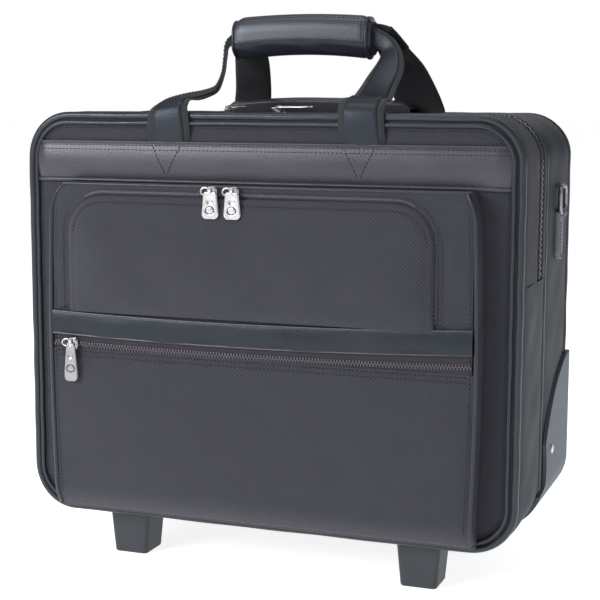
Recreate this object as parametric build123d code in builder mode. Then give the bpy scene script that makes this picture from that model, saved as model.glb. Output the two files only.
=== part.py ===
from build123d import *
import os

os.makedirs("parts", exist_ok=True)

# A wheeled pilot's flight case, standing on two front feet and two rear wheels.
# +Z is up, the front faces -Y, and the origin is on the floor in the middle of the case.
# All sizes are in millimetres.

# ---- Driving dimensions ----
BODY_W = 430.0
BODY_H = 345.0
CLEARANCE = 40.0
CORNER_R = 38.0
FRONT_Y = -88.0
BODY_D = 200.0
ZIP_DEPTH = 70.0
MID_DEPTH = 94.0
PIPING = 6.0
WALL = 4.0
SKIN = 1.0
GAP = 0.4
CUT = 10.0

# ---- Worked out from them ----
TOP_Z = CLEARANCE + BODY_H
MID_Z = CLEARANCE + BODY_H / 2
HALF_W = BODY_W / 2
REAR_Y = FRONT_Y + BODY_D
ZIP_Y = FRONT_Y + ZIP_DEPTH
MID_Y = FRONT_Y + MID_DEPTH
SIDE_X = HALF_W - SKIN
ROOF_Z = TOP_Z - SKIN
SIDES = {"left": -1, "right": 1}

# ---- Main zip ----
TAPE_W = 5.0
TAPE_T = 1.5
ZIP_END_Z = 252.0
DOOR_GAP = 0.6
RIM_REAR_Y = ZIP_Y - TAPE_W
GUSSET_FRONT_Y = ZIP_Y + TAPE_W

# ---- Front of the case ----
BAND_LOW_Z = 327.0
BAND_HIGH_Z = 361.0
BAND_T = 2.5
PANEL_FACE_Y = FRONT_Y + 1.0
POCKET_W = 370.0
POCKET_LOW_Z = 52.0
POCKET_HIGH_Z = 327.0
POCKET_PROUD = 20.0
POCKET_R = 10.0
POCKET_PIPING = 5.0
POCKET_FACE_Y = FRONT_Y - POCKET_PROUD
STRIP_LOW_Z = 199.0
STRIP_HIGH_Z = 219.0
STRIP_T = 2.0
LOWER_ZIP_Z = 191.0
LOWER_ZIP_H = 9.0
LOWER_ZIP_HALF = 168.0

# ---- Organiser compartment ----
FLAP_X = -7.0
FLAP_W = 316.0
FLAP_LOW_Z = 224.0
FLAP_HIGH_Z = 317.0
FLAP_R = 32.0
FLAP_PROUD = 5.0
FLAP_WALL = 2.5
FLAP_CROWN = 7.0
FLAP_CROWN_HIGH_Z = 294.0
FLAP_ZIP_Z = 321.6
FLAP_ZIP_H = 5.0

# ---- Carrying handle ----
GRIP_LOW_Z = 430.0
GRIP_HIGH_Z = 468.0
GRIP_HALF = 60.0
GRIP_T = 30.0
STRAP_X = 84.0
STRAP_W = 38.0
STRAP_T = 4.0
STRAP_RUN_H = 28.0
STRAP_RUN_Z = 449.5
REAR_STRAP_W = 40.0
ARCH_LOW_Z = 426.0
REAR_STRAP_Y = 66.0
ARCH_R = 22.0
BEND_R = 5.0
GRIP_R = 11.0
GRIP_FILLET = 3.0
STRAP_ROOM = (3.4, 1.4)

# ---- Saddle, trolley and wheels ----
SADDLE_HALF = 87.0
SADDLE_HIGH_Z = 396.0
TUBE_X = 66.0
TUBE_Y = 92.0
OUTER_TUBE = (24.0, 14.0)
MIDDLE_TUBE = (20.8, 10.8)
INNER_TUBE = (18.0, 8.0)
TUBE_WALL = 1.2
TUBE_R = 2.2
INNER_TUBE_R = 1.5
TUBE_STEP = 6.0
TROLLEY_GRIP_Y = 89.0
TROLLEY_GRIP_SIZE = (164.0, 20.0)
WHEEL_X = 131.0
WHEEL_R = 27.5
WHEEL_W = 24.0
AXLE_Y = 93.0
AXLE_R = 4.0
HOUSING_W = 48.0
HOUSING_LOW_Z = 20.0
HOUSING_R = 12.0
WHEEL_CLEAR = 4.0
TYRE_T = 7.0
TYRE_FILLET = 4.0
HUB_INSET = 1.0
HUB_DISH = 4.0
HUB_RIM = 3.0
BOSS_T = 5.0
RUNNING_GAP = 0.08

# ---- Feet, corner guards and strap rings ----
FOOT_TOP_W = 38.0
FOOT_LOW_W = 31.0
FOOT_FRONT_Y = -73.0
FOOT_REAR_Y = -37.0
FOOT_TAPER = 4.0
FOOT_R = 4.0
FOOT_FILLET = 2.0
GUARD_T = 3.0
GUARD_INNER_X = 157.0
GUARD_TOP_Z = 174.0
GUARD_FOOT = (0.0, 66.0)
GUARD_STEP = (14.0, 72.0)
GUARD_SHOULDER = ((17.0, 90.0), (12.0, 108.0))
GUARD_RISE = (48.0, 148.0)
RING_Y = 53.0
RING_Z = 302.0
RING_X = 219.0
RING_WIRE_R = 1.8
TAB_T = 3.0
TAB_SIZE = (21.0, 40.0)
TAB_R = 9.0
ROLL_R = 4.0
ROLL_HALF = 4.5
RING_GAP = 0.15
RING_L = 28.0
RING_H = 26.0
RING_R = 9.0


def facing_front(y):
    """A plane square to Y whose local axes are X and Z, looking out of the front."""
    return Plane(origin=(0, y, 0), x_dir=(1, 0, 0), z_dir=(0, -1, 0))


def facing_right(x):
    """A plane square to X whose local axes are Y and Z, looking out of the right side."""
    return Plane(origin=(x, 0, 0), x_dir=(0, 1, 0), z_dir=(1, 0, 0))


def body_outline(inset, mode=Mode.ADD):
    """The case seen from the front, drawn in by an inset."""
    with Locations((0, MID_Z)):
        RectangleRounded(
            BODY_W - 2 * inset, BODY_H - 2 * inset, CORNER_R - inset, mode=mode
        )


def wall_ring(front_y, rear_y, inset, wall):
    """A closed wall that follows the outline of the case, from one depth to another."""
    with BuildPart() as ring:
        with BuildSketch(facing_front(rear_y)):
            body_outline(inset)
            body_outline(inset + wall, mode=Mode.SUBTRACT)
        extrude(amount=rear_y - front_y)
    return ring.part


def body_piping(middle_y):
    """A round bead sewn into the edge of the case."""
    with BuildPart() as bead:
        add(wall_ring(middle_y - PIPING / 2, middle_y + PIPING / 2, 0, PIPING))
        fillet(bead.edges(), PIPING * 0.42)
    return bead.part


def block(x_range, y_range, z_range):
    """A box given by its limits."""
    size = [high - low for low, high in (x_range, y_range, z_range)]
    middle = [(high + low) / 2 for low, high in (x_range, y_range, z_range)]
    with BuildPart() as made:
        with Locations(tuple(middle)):
            Box(*size)
    return made.part


def save(part, name):
    """Labels one finished piece and writes its file."""
    part.label = name
    export_step(part, f"parts/{name}.step")


WIDE = (-300.0, 300.0)
DEEP = (-300.0, 300.0)
BEZEL_X = (-88.0, 88.0)
BEZEL_Y = (74.0, 104.0)
BEZEL_LOW_Z = 368.0
HOUSING_Y = (60.0, REAR_Y + 1.0)
HOUSING_HIGH_Z = 66.0


def housing_space(clear):
    """The room that the wheel housings take out of the case."""
    with BuildPart() as room:
        for side in SIDES.values():
            middle = side * WHEEL_X
            half = HOUSING_W / 2 + clear
            add(
                block(
                    (middle - half, middle + half),
                    (HOUSING_Y[0] - clear, REAR_Y + CUT),
                    (0, HOUSING_HIGH_Z + clear),
                )
            )
    return room.part


# ======== The rigid back half of the case ========

with BuildPart() as rear_gusset:
    add(wall_ring(MID_Y + PIPING / 2, REAR_Y - PIPING, SKIN, WALL))
    add(block(BEZEL_X, BEZEL_Y, (BEZEL_LOW_Z, TOP_Z + CUT)), mode=Mode.SUBTRACT)
    add(housing_space(GAP), mode=Mode.SUBTRACT)
save(rear_gusset.part, "rear_gusset")

with BuildPart() as back_panel:
    with BuildSketch(facing_front(REAR_Y - 1)):
        body_outline(PIPING)
    extrude(amount=PIPING - 2)
    add(housing_space(GAP), mode=Mode.SUBTRACT)
save(back_panel.part, "back_panel")

save(body_piping(MID_Y), "middle_piping")

with BuildPart() as rear_piping:
    add(body_piping(REAR_Y - PIPING / 2))
    add(housing_space(GAP), mode=Mode.SUBTRACT)
save(rear_piping.part, "rear_piping")

# The gusset strip between the main zip and the middle piping goes round the top and the upper
# sides; below the ends of the zip the sides and the base are closed by the smooth gussets.
with BuildPart() as upper_gusset:
    add(wall_ring(GUSSET_FRONT_Y, MID_Y - PIPING / 2, SKIN, WALL))
    add(block(WIDE, DEEP, (0, ZIP_END_Z)), mode=Mode.SUBTRACT)
save(upper_gusset.part, "upper_gusset")

GUSSET_SPLIT_Z = CLEARANCE + CORNER_R + 2
with BuildPart() as base_gusset:
    add(wall_ring(FRONT_Y + PIPING + DOOR_GAP, MID_Y - PIPING / 2, SKIN, WALL))
    add(block(WIDE, DEEP, (GUSSET_SPLIT_Z, TOP_Z + CUT)), mode=Mode.SUBTRACT)
save(base_gusset.part, "base_gusset")

for name, side in SIDES.items():
    with BuildPart() as side_gusset:
        add(wall_ring(FRONT_Y + PIPING + DOOR_GAP, MID_Y - PIPING / 2, SKIN, WALL))
        add(block(WIDE, DEEP, (0, GUSSET_SPLIT_Z)), mode=Mode.SUBTRACT)
        add(block(WIDE, DEEP, (ZIP_END_Z, TOP_Z + CUT)), mode=Mode.SUBTRACT)
        split(bisect_by=Plane.YZ, keep=Keep.TOP if side > 0 else Keep.BOTTOM)
    save(side_gusset.part, f"side_gusset_{name}")

# One half of the main zip's tape, on the side of the case.
with BuildPart() as zip_tape_rear:
    add(wall_ring(ZIP_Y + GAP / 2, GUSSET_FRONT_Y, SKIN + 1, TAPE_T))
    add(block(WIDE, DEEP, (0, ZIP_END_Z)), mode=Mode.SUBTRACT)
save(zip_tape_rear.part, "zip_tape_rear")

# An L-shaped board stiffens the back and the base.
BOARD_T = 3.0
BOARD_HALF = 175.0
BOARD_LOW_Z = CLEARANCE + SKIN + WALL
BOARD_HIGH_Z = 365.0
BOARD_REAR_Y = REAR_Y - PIPING - 0.5
with BuildPart() as frame_board:
    add(
        block(
            (-BOARD_HALF, BOARD_HALF),
            (BOARD_REAR_Y - BOARD_T, BOARD_REAR_Y),
            (BOARD_LOW_Z, BOARD_HIGH_Z),
        )
    )
    add(
        block(
            (-BOARD_HALF, BOARD_HALF),
            (MID_Y + PIPING, BOARD_REAR_Y),
            (BOARD_LOW_Z, BOARD_LOW_Z + BOARD_T),
        )
    )
    add(housing_space(GAP), mode=Mode.SUBTRACT)
save(frame_board.part, "frame_board")

LINING_Y = (76.0, 78.0)
LINING_INSET = 12.0
with BuildPart() as lining_panel:
    with BuildSketch(facing_front(LINING_Y[1])):
        with Locations((0, (HOUSING_HIGH_Z + BEZEL_LOW_Z) / 2)):
            RectangleRounded(
                BODY_W - 2 * LINING_INSET,
                BEZEL_LOW_Z - HOUSING_HIGH_Z - WHEEL_CLEAR,
                2 * LINING_INSET,
            )
    extrude(amount=LINING_Y[1] - LINING_Y[0])
save(lining_panel.part, "lining_panel")

# ======== Saddle, bezel and trolley ========

SADDLE_Y = (42.0, 64.0)
SADDLE_FILLET = 3.0
with BuildPart() as saddle_pad:
    add(block((-SADDLE_HALF, SADDLE_HALF), SADDLE_Y, (ROOF_Z, SADDLE_HIGH_Z)))
    fillet(saddle_pad.faces().sort_by(Axis.Z)[-1].edges(), SADDLE_FILLET)
save(saddle_pad.part, "saddle_pad")


def tube(outside, low_z, high_z):
    """One pair of straight rectangular tubes, as two separate solids."""
    with BuildPart() as pair:
        with BuildSketch(Plane.XY.offset(low_z)):
            with Locations((-TUBE_X, TUBE_Y), (TUBE_X, TUBE_Y)):
                RectangleRounded(outside[0], outside[1], TUBE_R)
                RectangleRounded(
                    outside[0] - 2 * TUBE_WALL,
                    outside[1] - 2 * TUBE_WALL,
                    TUBE_R - TUBE_WALL,
                    mode=Mode.SUBTRACT,
                )
        extrude(amount=high_z - low_z)
    return pair.part


BRACKET_LOW_Z = BOARD_LOW_Z + BOARD_T
BRACKET_HIGH_Z = BRACKET_LOW_Z + 12
BRACKET_X = (-92.0, 92.0)
BRACKET_Y = (80.0, 102.0)
SOCKET_DEPTH = 6.0
COLLAR_DEPTH = 4.0
OUTER_LOW_Z = BRACKET_HIGH_Z - SOCKET_DEPTH
OUTER_HIGH_Z = BEZEL_LOW_Z + COLLAR_DEPTH
INNER_LOW_Z = OUTER_LOW_Z + TUBE_STEP + 4
save(tube(OUTER_TUBE, OUTER_LOW_Z, OUTER_HIGH_Z), "outer_tubes")
save(tube(MIDDLE_TUBE, OUTER_LOW_Z + TUBE_STEP, OUTER_HIGH_Z), "middle_tubes")

GRIP_BAR_Z = (376.5, 395.0)
with BuildPart() as inner_tubes:
    with BuildSketch(Plane.XY.offset(INNER_LOW_Z)):
        with Locations((-TUBE_X, TUBE_Y), (TUBE_X, TUBE_Y)):
            RectangleRounded(*INNER_TUBE, INNER_TUBE_R)
    extrude(amount=GRIP_BAR_Z[0] - INNER_LOW_Z)
save(inner_tubes.part, "inner_tubes")

with BuildPart() as tube_bracket:
    add(block(BRACKET_X, BRACKET_Y, (BRACKET_LOW_Z, BRACKET_HIGH_Z)))
    with BuildSketch(Plane.XY.offset(BRACKET_HIGH_Z)):
        with Locations((-TUBE_X, TUBE_Y), (TUBE_X, TUBE_Y)):
            RectangleRounded(*OUTER_TUBE, TUBE_R)
    extrude(amount=-SOCKET_DEPTH, mode=Mode.SUBTRACT)
save(tube_bracket.part, "tube_bracket")

# The bezel is a shallow tray in the top of the case that the trolley grip drops into.
BEZEL_FLANGE = 5.0
FLANGE_T = 3.0
BEZEL_R = 5.0
BEZEL_W = BEZEL_X[1] - BEZEL_X[0]
BEZEL_D = BEZEL_Y[1] - BEZEL_Y[0]
BEZEL_MID_Y = (BEZEL_Y[0] + BEZEL_Y[1]) / 2
BEZEL_RIM = 2.0
RECESS_LOW_Z = BEZEL_LOW_Z + 7
SLIDING_GAP = 0.6
with BuildPart() as trolley_bezel:
    add(
        block(
            (BEZEL_X[0] + GAP, BEZEL_X[1] - GAP),
            (BEZEL_Y[0] + GAP, BEZEL_Y[1] - GAP),
            (BEZEL_LOW_Z, TOP_Z),
        )
    )
    with BuildSketch(Plane.XY.offset(ROOF_Z)):
        with Locations((0, BEZEL_MID_Y)):
            RectangleRounded(BEZEL_W + 2 * BEZEL_FLANGE, BEZEL_D + BEZEL_RIM, BEZEL_R)
    extrude(amount=FLANGE_T)
    with BuildSketch(Plane.XY.offset(RECESS_LOW_Z)):
        with Locations((0, BEZEL_MID_Y)):
            RectangleRounded(BEZEL_W - BEZEL_FLANGE, BEZEL_D - 2 * BEZEL_RIM, BEZEL_R)
    extrude(amount=TOP_Z + CUT - RECESS_LOW_Z, mode=Mode.SUBTRACT)
    with BuildSketch(Plane.XY.offset(BEZEL_LOW_Z)):
        with Locations((-TUBE_X, TUBE_Y), (TUBE_X, TUBE_Y)):
            RectangleRounded(*OUTER_TUBE, TUBE_R)
    extrude(amount=COLLAR_DEPTH, mode=Mode.SUBTRACT)
    with BuildSketch(Plane.XY.offset(OUTER_HIGH_Z)):
        with Locations((-TUBE_X, TUBE_Y), (TUBE_X, TUBE_Y)):
            RectangleRounded(MIDDLE_TUBE[0] + SLIDING_GAP, MIDDLE_TUBE[1] + SLIDING_GAP, TUBE_R)
    extrude(amount=CUT, mode=Mode.SUBTRACT)
save(trolley_bezel.part, "trolley_bezel")

GRIP_BAR_R = 8.0
GRIP_BAR_FILLET = 5.0
BUTTON_SIZE = (30.0, 10.0)
BUTTON_R = 3.6
BUTTON_GAP = 0.4
BUTTON_TRAVEL = 3.5
BUTTON_WELL = 9.0
BUTTON_PROUD = 1.0
with BuildPart() as trolley_grip:
    with BuildSketch(Plane.XY.offset(GRIP_BAR_Z[0])):
        with Locations((0, TROLLEY_GRIP_Y)):
            RectangleRounded(*TROLLEY_GRIP_SIZE, GRIP_BAR_R)
    extrude(amount=GRIP_BAR_Z[1] - GRIP_BAR_Z[0])
    fillet(trolley_grip.faces().sort_by(Axis.Z)[-1].edges(), GRIP_BAR_FILLET)
    with BuildSketch(Plane.XY.offset(GRIP_BAR_Z[1])):
        with Locations((0, TROLLEY_GRIP_Y)):
            RectangleRounded(
                BUTTON_SIZE[0] + 2 * BUTTON_GAP,
                BUTTON_SIZE[1] + 2 * BUTTON_GAP,
                BUTTON_R + BUTTON_GAP,
            )
    extrude(amount=-BUTTON_WELL, mode=Mode.SUBTRACT)
save(trolley_grip.part, "trolley_grip")

with BuildPart() as release_button:
    button_low_z = GRIP_BAR_Z[1] - BUTTON_WELL + BUTTON_TRAVEL + BUTTON_PROUD / 2
    with BuildSketch(Plane.XY.offset(button_low_z)):
        with Locations((0, TROLLEY_GRIP_Y)):
            RectangleRounded(*BUTTON_SIZE, BUTTON_R)
    extrude(amount=GRIP_BAR_Z[1] + BUTTON_PROUD - button_low_z)
    fillet(release_button.faces().sort_by(Axis.Z)[-1].edges(), BUTTON_PROUD)
save(release_button.part, "release_button")

# ======== Wheels, feet and guards ========

for name, side in SIDES.items():
    middle = side * WHEEL_X
    with BuildPart() as wheel_housing:
        add(
            block(
                (middle - HOUSING_W / 2, middle + HOUSING_W / 2),
                HOUSING_Y,
                (HOUSING_LOW_Z, HOUSING_HIGH_Z),
            )
        )
        low_front = wheel_housing.edges().filter_by(Axis.X).group_by(Axis.Y)[0]
        fillet(low_front.sort_by(Axis.Z)[0], HOUSING_R)
        add(
            block(
                (middle - WHEEL_W / 2 - WHEEL_CLEAR, middle + WHEEL_W / 2 + WHEEL_CLEAR),
                (HOUSING_Y[0] + WHEEL_CLEAR / 2, HOUSING_Y[1] + CUT),
                (0, HOUSING_HIGH_Z - WHEEL_CLEAR),
            ),
            mode=Mode.SUBTRACT,
        )
        with BuildSketch(facing_right(middle)):
            with Locations((AXLE_Y, WHEEL_R)):
                Circle(AXLE_R)
        extrude(amount=HOUSING_W, both=True, mode=Mode.SUBTRACT)
    save(wheel_housing.part, f"wheel_housing_{name}")

    with BuildPart() as hub:
        with BuildSketch(facing_right(middle)):
            with Locations((AXLE_Y, WHEEL_R)):
                Circle(WHEEL_R - TYRE_T)
        extrude(amount=WHEEL_W / 2 - HUB_INSET, both=True)
        for face_side in (-1, 1):
            with BuildSketch(facing_right(middle + face_side * (WHEEL_W / 2 - HUB_INSET))):
                with Locations((AXLE_Y, WHEEL_R)):
                    Circle(WHEEL_R - TYRE_T - HUB_RIM)
                    Circle(AXLE_R + BOSS_T, mode=Mode.SUBTRACT)
            extrude(amount=-face_side * HUB_DISH, mode=Mode.SUBTRACT)
        with BuildSketch(facing_right(middle)):
            with Locations((AXLE_Y, WHEEL_R)):
                Circle(AXLE_R + RUNNING_GAP)
        extrude(amount=HOUSING_W, both=True, mode=Mode.SUBTRACT)
    save(hub.part, f"hub_{name}")

    with BuildPart() as tyre:
        with BuildSketch(facing_right(middle)):
            with Locations((AXLE_Y, WHEEL_R)):
                Circle(WHEEL_R)
                Circle(WHEEL_R - TYRE_T, mode=Mode.SUBTRACT)
        extrude(amount=WHEEL_W / 2, both=True)
        rims = tyre.edges().filter_by(GeomType.CIRCLE)
        fillet(rims.filter_by(lambda rim: rim.radius > WHEEL_R - TYRE_T / 2), TYRE_FILLET)
    save(tyre.part, f"tyre_{name}")

    foot_top = CLEARANCE + SKIN
    with BuildPart() as foot:
        foot_y = (FOOT_FRONT_Y + FOOT_REAR_Y) / 2
        with BuildSketch(Plane.XY):
            with Locations((middle, foot_y)):
                RectangleRounded(FOOT_LOW_W, FOOT_REAR_Y - FOOT_FRONT_Y - FOOT_TAPER, FOOT_R)
        with BuildSketch(Plane.XY.offset(foot_top)):
            with Locations((middle, foot_y)):
                RectangleRounded(FOOT_TOP_W, FOOT_REAR_Y - FOOT_FRONT_Y, FOOT_R)
        loft()
        fillet(foot.faces().sort_by(Axis.Z)[0].edges(), FOOT_FILLET)
    save(foot.part, f"foot_{name}")

    # The moulded guard wraps the rear bottom corner: side, base and back.
    guard_low_z = CLEARANCE - GUARD_T - SKIN
    guard_rear_y = REAR_Y + 2 * GUARD_T
    with BuildPart() as corner_guard:
        with BuildSketch(facing_front(REAR_Y + GUARD_T)):
            body_outline(-GUARD_T)
        extrude(amount=REAR_Y + GUARD_T)
        with BuildSketch(facing_front(REAR_Y)):
            body_outline(0)
        extrude(amount=BODY_D, mode=Mode.SUBTRACT)
        with BuildSketch(facing_right(side * GUARD_INNER_X)):
            with BuildLine():
                foot_line = Line((GUARD_FOOT[0], guard_low_z), GUARD_FOOT)
                front_line = Line(foot_line @ 1, GUARD_STEP)
                shoulder = ThreePointArc(front_line @ 1, *GUARD_SHOULDER)
                rise = ThreePointArc(shoulder @ 1, GUARD_RISE, (guard_rear_y, GUARD_TOP_Z))
                rear_line = Line(rise @ 1, (guard_rear_y, guard_low_z))
                Line(rear_line @ 1, foot_line @ 0)
            make_face()
        extrude(amount=side * (HALF_W + CUT - GUARD_INNER_X), mode=Mode.INTERSECT)
    save(corner_guard.part, f"corner_guard_{name}")

    # The strap ring stands on a leather tab; its bar turns in the tab's rolled top end.
    across = facing_front(RING_Y)
    with BuildPart() as ring_tab:
        with BuildSketch(facing_right(side * SIDE_X)):
            with Locations((RING_Y, RING_Z - TAB_SIZE[1] / 2)):
                RectangleRounded(*TAB_SIZE, TAB_R)
        extrude(amount=side * TAB_T)
        with BuildSketch(across):
            with Locations((side * RING_X, RING_Z)):
                Circle(ROLL_R)
        extrude(amount=ROLL_HALF, both=True)
        with BuildSketch(across):
            with Locations((side * RING_X, RING_Z)):
                Circle(RING_WIRE_R + RING_GAP)
        extrude(amount=TAB_SIZE[0], both=True, mode=Mode.SUBTRACT)
        add(block((-SIDE_X, SIDE_X), DEEP, (0, TOP_Z)), mode=Mode.SUBTRACT)
    save(ring_tab.part, f"ring_tab_{name}")

    with BuildPart() as strap_ring:
        with BuildSketch(facing_right(side * RING_X)):
            with Locations((RING_Y, RING_Z + RING_H / 2 - RING_WIRE_R)):
                RectangleRounded(RING_L, RING_H, RING_R)
                RectangleRounded(
                    RING_L - 4 * RING_WIRE_R,
                    RING_H - 4 * RING_WIRE_R,
                    RING_R - 2 * RING_WIRE_R,
                    mode=Mode.SUBTRACT,
                )
        extrude(amount=RING_WIRE_R, both=True)
        fillet(strap_ring.edges(), RING_WIRE_R * 0.9)
    save(strap_ring.part, f"strap_ring_{name}")

with BuildPart() as axles:
    for side in SIDES.values():
        with BuildSketch(facing_right(side * WHEEL_X)):
            with Locations((AXLE_Y, WHEEL_R)):
                Circle(AXLE_R)
        extrude(amount=HOUSING_W / 2, both=True)
save(axles.part, "axles")

RIVET = (37.0, 100.0)
RIVET_R = 4.0
RIVET_PROUD = 1.4
RIVET_FILLET = 1.0
with BuildPart() as guard_rivets:
    for side in SIDES.values():
        with BuildSketch(facing_right(side * (HALF_W + GUARD_T))):
            with Locations(RIVET):
                Circle(RIVET_R)
        extrude(amount=side * RIVET_PROUD)
    rivet_faces = guard_rivets.faces().filter_by(Plane.YZ).sort_by(Axis.X)
    fillet(rivet_faces[0].edges() + rivet_faces[-1].edges(), RIVET_FILLET)
save(guard_rivets.part, "guard_rivets")

# ======== Front door: panel, rim and trim ========

with BuildPart() as front_panel:
    with BuildSketch(facing_front(FRONT_Y + PIPING - 1)):
        body_outline(PIPING)
    extrude(amount=PIPING - 2)
save(front_panel.part, "front_panel")

save(body_piping(FRONT_Y + PIPING / 2), "front_piping")

BEAD_INSET = PIPING + 1
BEAD_W = 4.0
BEAD_PROUD = 2.2
BEAD_FILLET = 1.4

with BuildPart() as inner_bead:
    with BuildSketch(facing_front(PANEL_FACE_Y)):
        body_outline(BEAD_INSET)
        body_outline(BEAD_INSET + BEAD_W, mode=Mode.SUBTRACT)
    extrude(amount=BEAD_PROUD)
    fillet(inner_bead.faces().sort_by(Axis.Y)[0].edges(), BEAD_FILLET)
save(inner_bead.part, "inner_bead")

with BuildPart() as door_rim:
    add(wall_ring(FRONT_Y + PIPING, RIM_REAR_Y, SKIN, WALL))
    add(block(WIDE, DEEP, (0, ZIP_END_Z + GAP)), mode=Mode.SUBTRACT)
save(door_rim.part, "door_rim")

with BuildPart() as zip_tape_front:
    add(wall_ring(RIM_REAR_Y, ZIP_Y - GAP / 2, SKIN + 1, TAPE_T))
    add(block(WIDE, DEEP, (0, ZIP_END_Z + GAP)), mode=Mode.SUBTRACT)
save(zip_tape_front.part, "zip_tape_front")

with BuildPart() as top_band:
    with BuildSketch(facing_front(PANEL_FACE_Y)):
        body_outline(BEAD_INSET + BEAD_W)
        with Locations((0, (BAND_LOW_Z + BAND_HIGH_Z) / 2)):
            Rectangle(BODY_W, BAND_HIGH_Z - BAND_LOW_Z, mode=Mode.INTERSECT)
    extrude(amount=BAND_T)
save(top_band.part, "top_band")

# ======== Front pocket and organiser ========


def pocket_outline(inset, mode=Mode.ADD):
    """The front pocket seen from the front."""
    with Locations((0, (POCKET_LOW_Z + POCKET_HIGH_Z) / 2)):
        RectangleRounded(
            POCKET_W - 2 * inset,
            POCKET_HIGH_Z - POCKET_LOW_Z - 2 * inset,
            POCKET_R - inset,
            mode=mode,
        )


def flap_outline(grow, mode=Mode.ADD):
    """The organiser's flap seen from the front, with its two arched top corners."""
    low_z = FLAP_LOW_Z - grow
    high_z = FLAP_HIGH_Z + grow
    half = FLAP_W / 2 + grow
    radius = FLAP_R + grow
    with BuildLine() as edge:
        left_side = Line((FLAP_X - half, low_z), (FLAP_X - half, high_z - radius))
        left_arch = RadiusArc(left_side @ 1, (FLAP_X - half + radius, high_z), radius)
        top_line = Line(left_arch @ 1, (FLAP_X + half - radius, high_z))
        right_arch = RadiusArc(top_line @ 1, (FLAP_X + half, high_z - radius), radius)
        right_side = Line(right_arch @ 1, (FLAP_X + half, low_z))
        Line(right_side @ 1, left_side @ 0)
    make_face(edge.edges(), mode=mode)


POCKET_WALL = 3.0
POCKET_BACK_Y = PANEL_FACE_Y
ROOM_INSET = 6.0
POCKET_FILLET = 2.2
TAPE_SUNK = 2.0
FLAP_FILLET = 2.4
CROWN_INSET = 12.0
CROWN_R = 10.0
CROWN_TAPER = 50.0
FLAP_TAPE_T = 1.2
with BuildPart() as front_pocket:
    with BuildSketch(facing_front(POCKET_BACK_Y)):
        pocket_outline(0)
    extrude(amount=POCKET_BACK_Y - POCKET_FACE_Y - POCKET_PIPING)
    with BuildSketch(facing_front(POCKET_FACE_Y + POCKET_PIPING)):
        pocket_outline(POCKET_PIPING)
    extrude(amount=POCKET_PIPING)
    # The lower pocket's inside, and its mouth behind the zip.
    lower_room_z = (POCKET_LOW_Z + ROOM_INSET, STRIP_LOW_Z - STRIP_T)
    add(
        block(
            (-LOWER_ZIP_HALF - ROOM_INSET, LOWER_ZIP_HALF + ROOM_INSET),
            (POCKET_FACE_Y + POCKET_WALL, POCKET_BACK_Y - POCKET_WALL),
            lower_room_z,
        ),
        mode=Mode.SUBTRACT,
    )
    add(
        block(
            (-LOWER_ZIP_HALF, LOWER_ZIP_HALF),
            (POCKET_FACE_Y - CUT, POCKET_FACE_Y + 2 * POCKET_WALL),
            (LOWER_ZIP_Z - LOWER_ZIP_H / 2, LOWER_ZIP_Z + LOWER_ZIP_H / 2),
        ),
        mode=Mode.SUBTRACT,
    )
    # The organiser's room, open to the front behind its flap.
    with BuildSketch(facing_front(POCKET_BACK_Y - POCKET_WALL)):
        flap_outline(-FLAP_WALL - SKIN)
    extrude(amount=POCKET_PROUD * 2, mode=Mode.SUBTRACT)
save(front_pocket.part, "front_pocket")

with BuildPart() as pocket_piping:
    with BuildSketch(facing_front(POCKET_FACE_Y + POCKET_PIPING)):
        pocket_outline(0)
        pocket_outline(POCKET_PIPING, mode=Mode.SUBTRACT)
    extrude(amount=POCKET_PIPING)
    fillet(pocket_piping.faces().sort_by(Axis.Y)[0].edges(), POCKET_FILLET)
save(pocket_piping.part, "pocket_piping")

# Two halves of tape meet along the lower pocket's mouth.
with BuildPart() as lower_zip_tape:
    with BuildSketch(facing_front(POCKET_FACE_Y + TAPE_SUNK)):
        for tape_side in (-1, 1):
            with Locations((0, LOWER_ZIP_Z + tape_side * LOWER_ZIP_H / 4)):
                Rectangle(2 * LOWER_ZIP_HALF, LOWER_ZIP_H / 2 - GAP)
    extrude(amount=TAPE_T)
save(lower_zip_tape.part, "lower_zip_tape")

with BuildPart() as middle_strip:
    with BuildSketch(facing_front(POCKET_FACE_Y)):
        with Locations((0, (STRIP_LOW_Z + STRIP_HIGH_Z) / 2)):
            Rectangle(POCKET_W - 2 * POCKET_PIPING, STRIP_HIGH_Z - STRIP_LOW_Z)
    extrude(amount=STRIP_T)
save(middle_strip.part, "middle_strip")

FLAP_BACK_Y = POCKET_FACE_Y - GAP
with BuildPart() as organiser_flap:
    with BuildSketch(facing_front(FLAP_BACK_Y)):
        flap_outline(0)
    extrude(amount=FLAP_PROUD)
    fillet(organiser_flap.faces().sort_by(Axis.Y)[0].edges(), FLAP_FILLET)
    with BuildSketch(facing_front(FLAP_BACK_Y)):
        flap_outline(-FLAP_WALL)
    extrude(amount=FLAP_PROUD - FLAP_WALL, mode=Mode.SUBTRACT)
    with BuildSketch(facing_front(FLAP_BACK_Y - FLAP_PROUD)):
        with Locations((FLAP_X, (FLAP_LOW_Z + CROWN_INSET + FLAP_CROWN_HIGH_Z) / 2)):
            RectangleRounded(
                FLAP_W - 2 * CROWN_INSET,
                FLAP_CROWN_HIGH_Z - FLAP_LOW_Z - CROWN_INSET,
                CROWN_R,
            )
    extrude(amount=FLAP_CROWN, taper=CROWN_TAPER)
save(organiser_flap.part, "organiser_flap")

# The flap's zip tape follows its arch, on the pocket, just outside the flap.
with BuildPart() as flap_zip_tape:
    with BuildSketch(facing_front(POCKET_FACE_Y)):
        flap_outline(FLAP_ZIP_H)
        flap_outline(GAP, mode=Mode.SUBTRACT)
        with Locations((0, FLAP_LOW_Z)):
            Rectangle(2 * BODY_W, 24, mode=Mode.SUBTRACT)
        pocket_outline(POCKET_PIPING, mode=Mode.INTERSECT)
    extrude(amount=FLAP_TAPE_T)
save(flap_zip_tape.part, "flap_zip_tape")

# ======== Zip sliders and pulls ========

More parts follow.
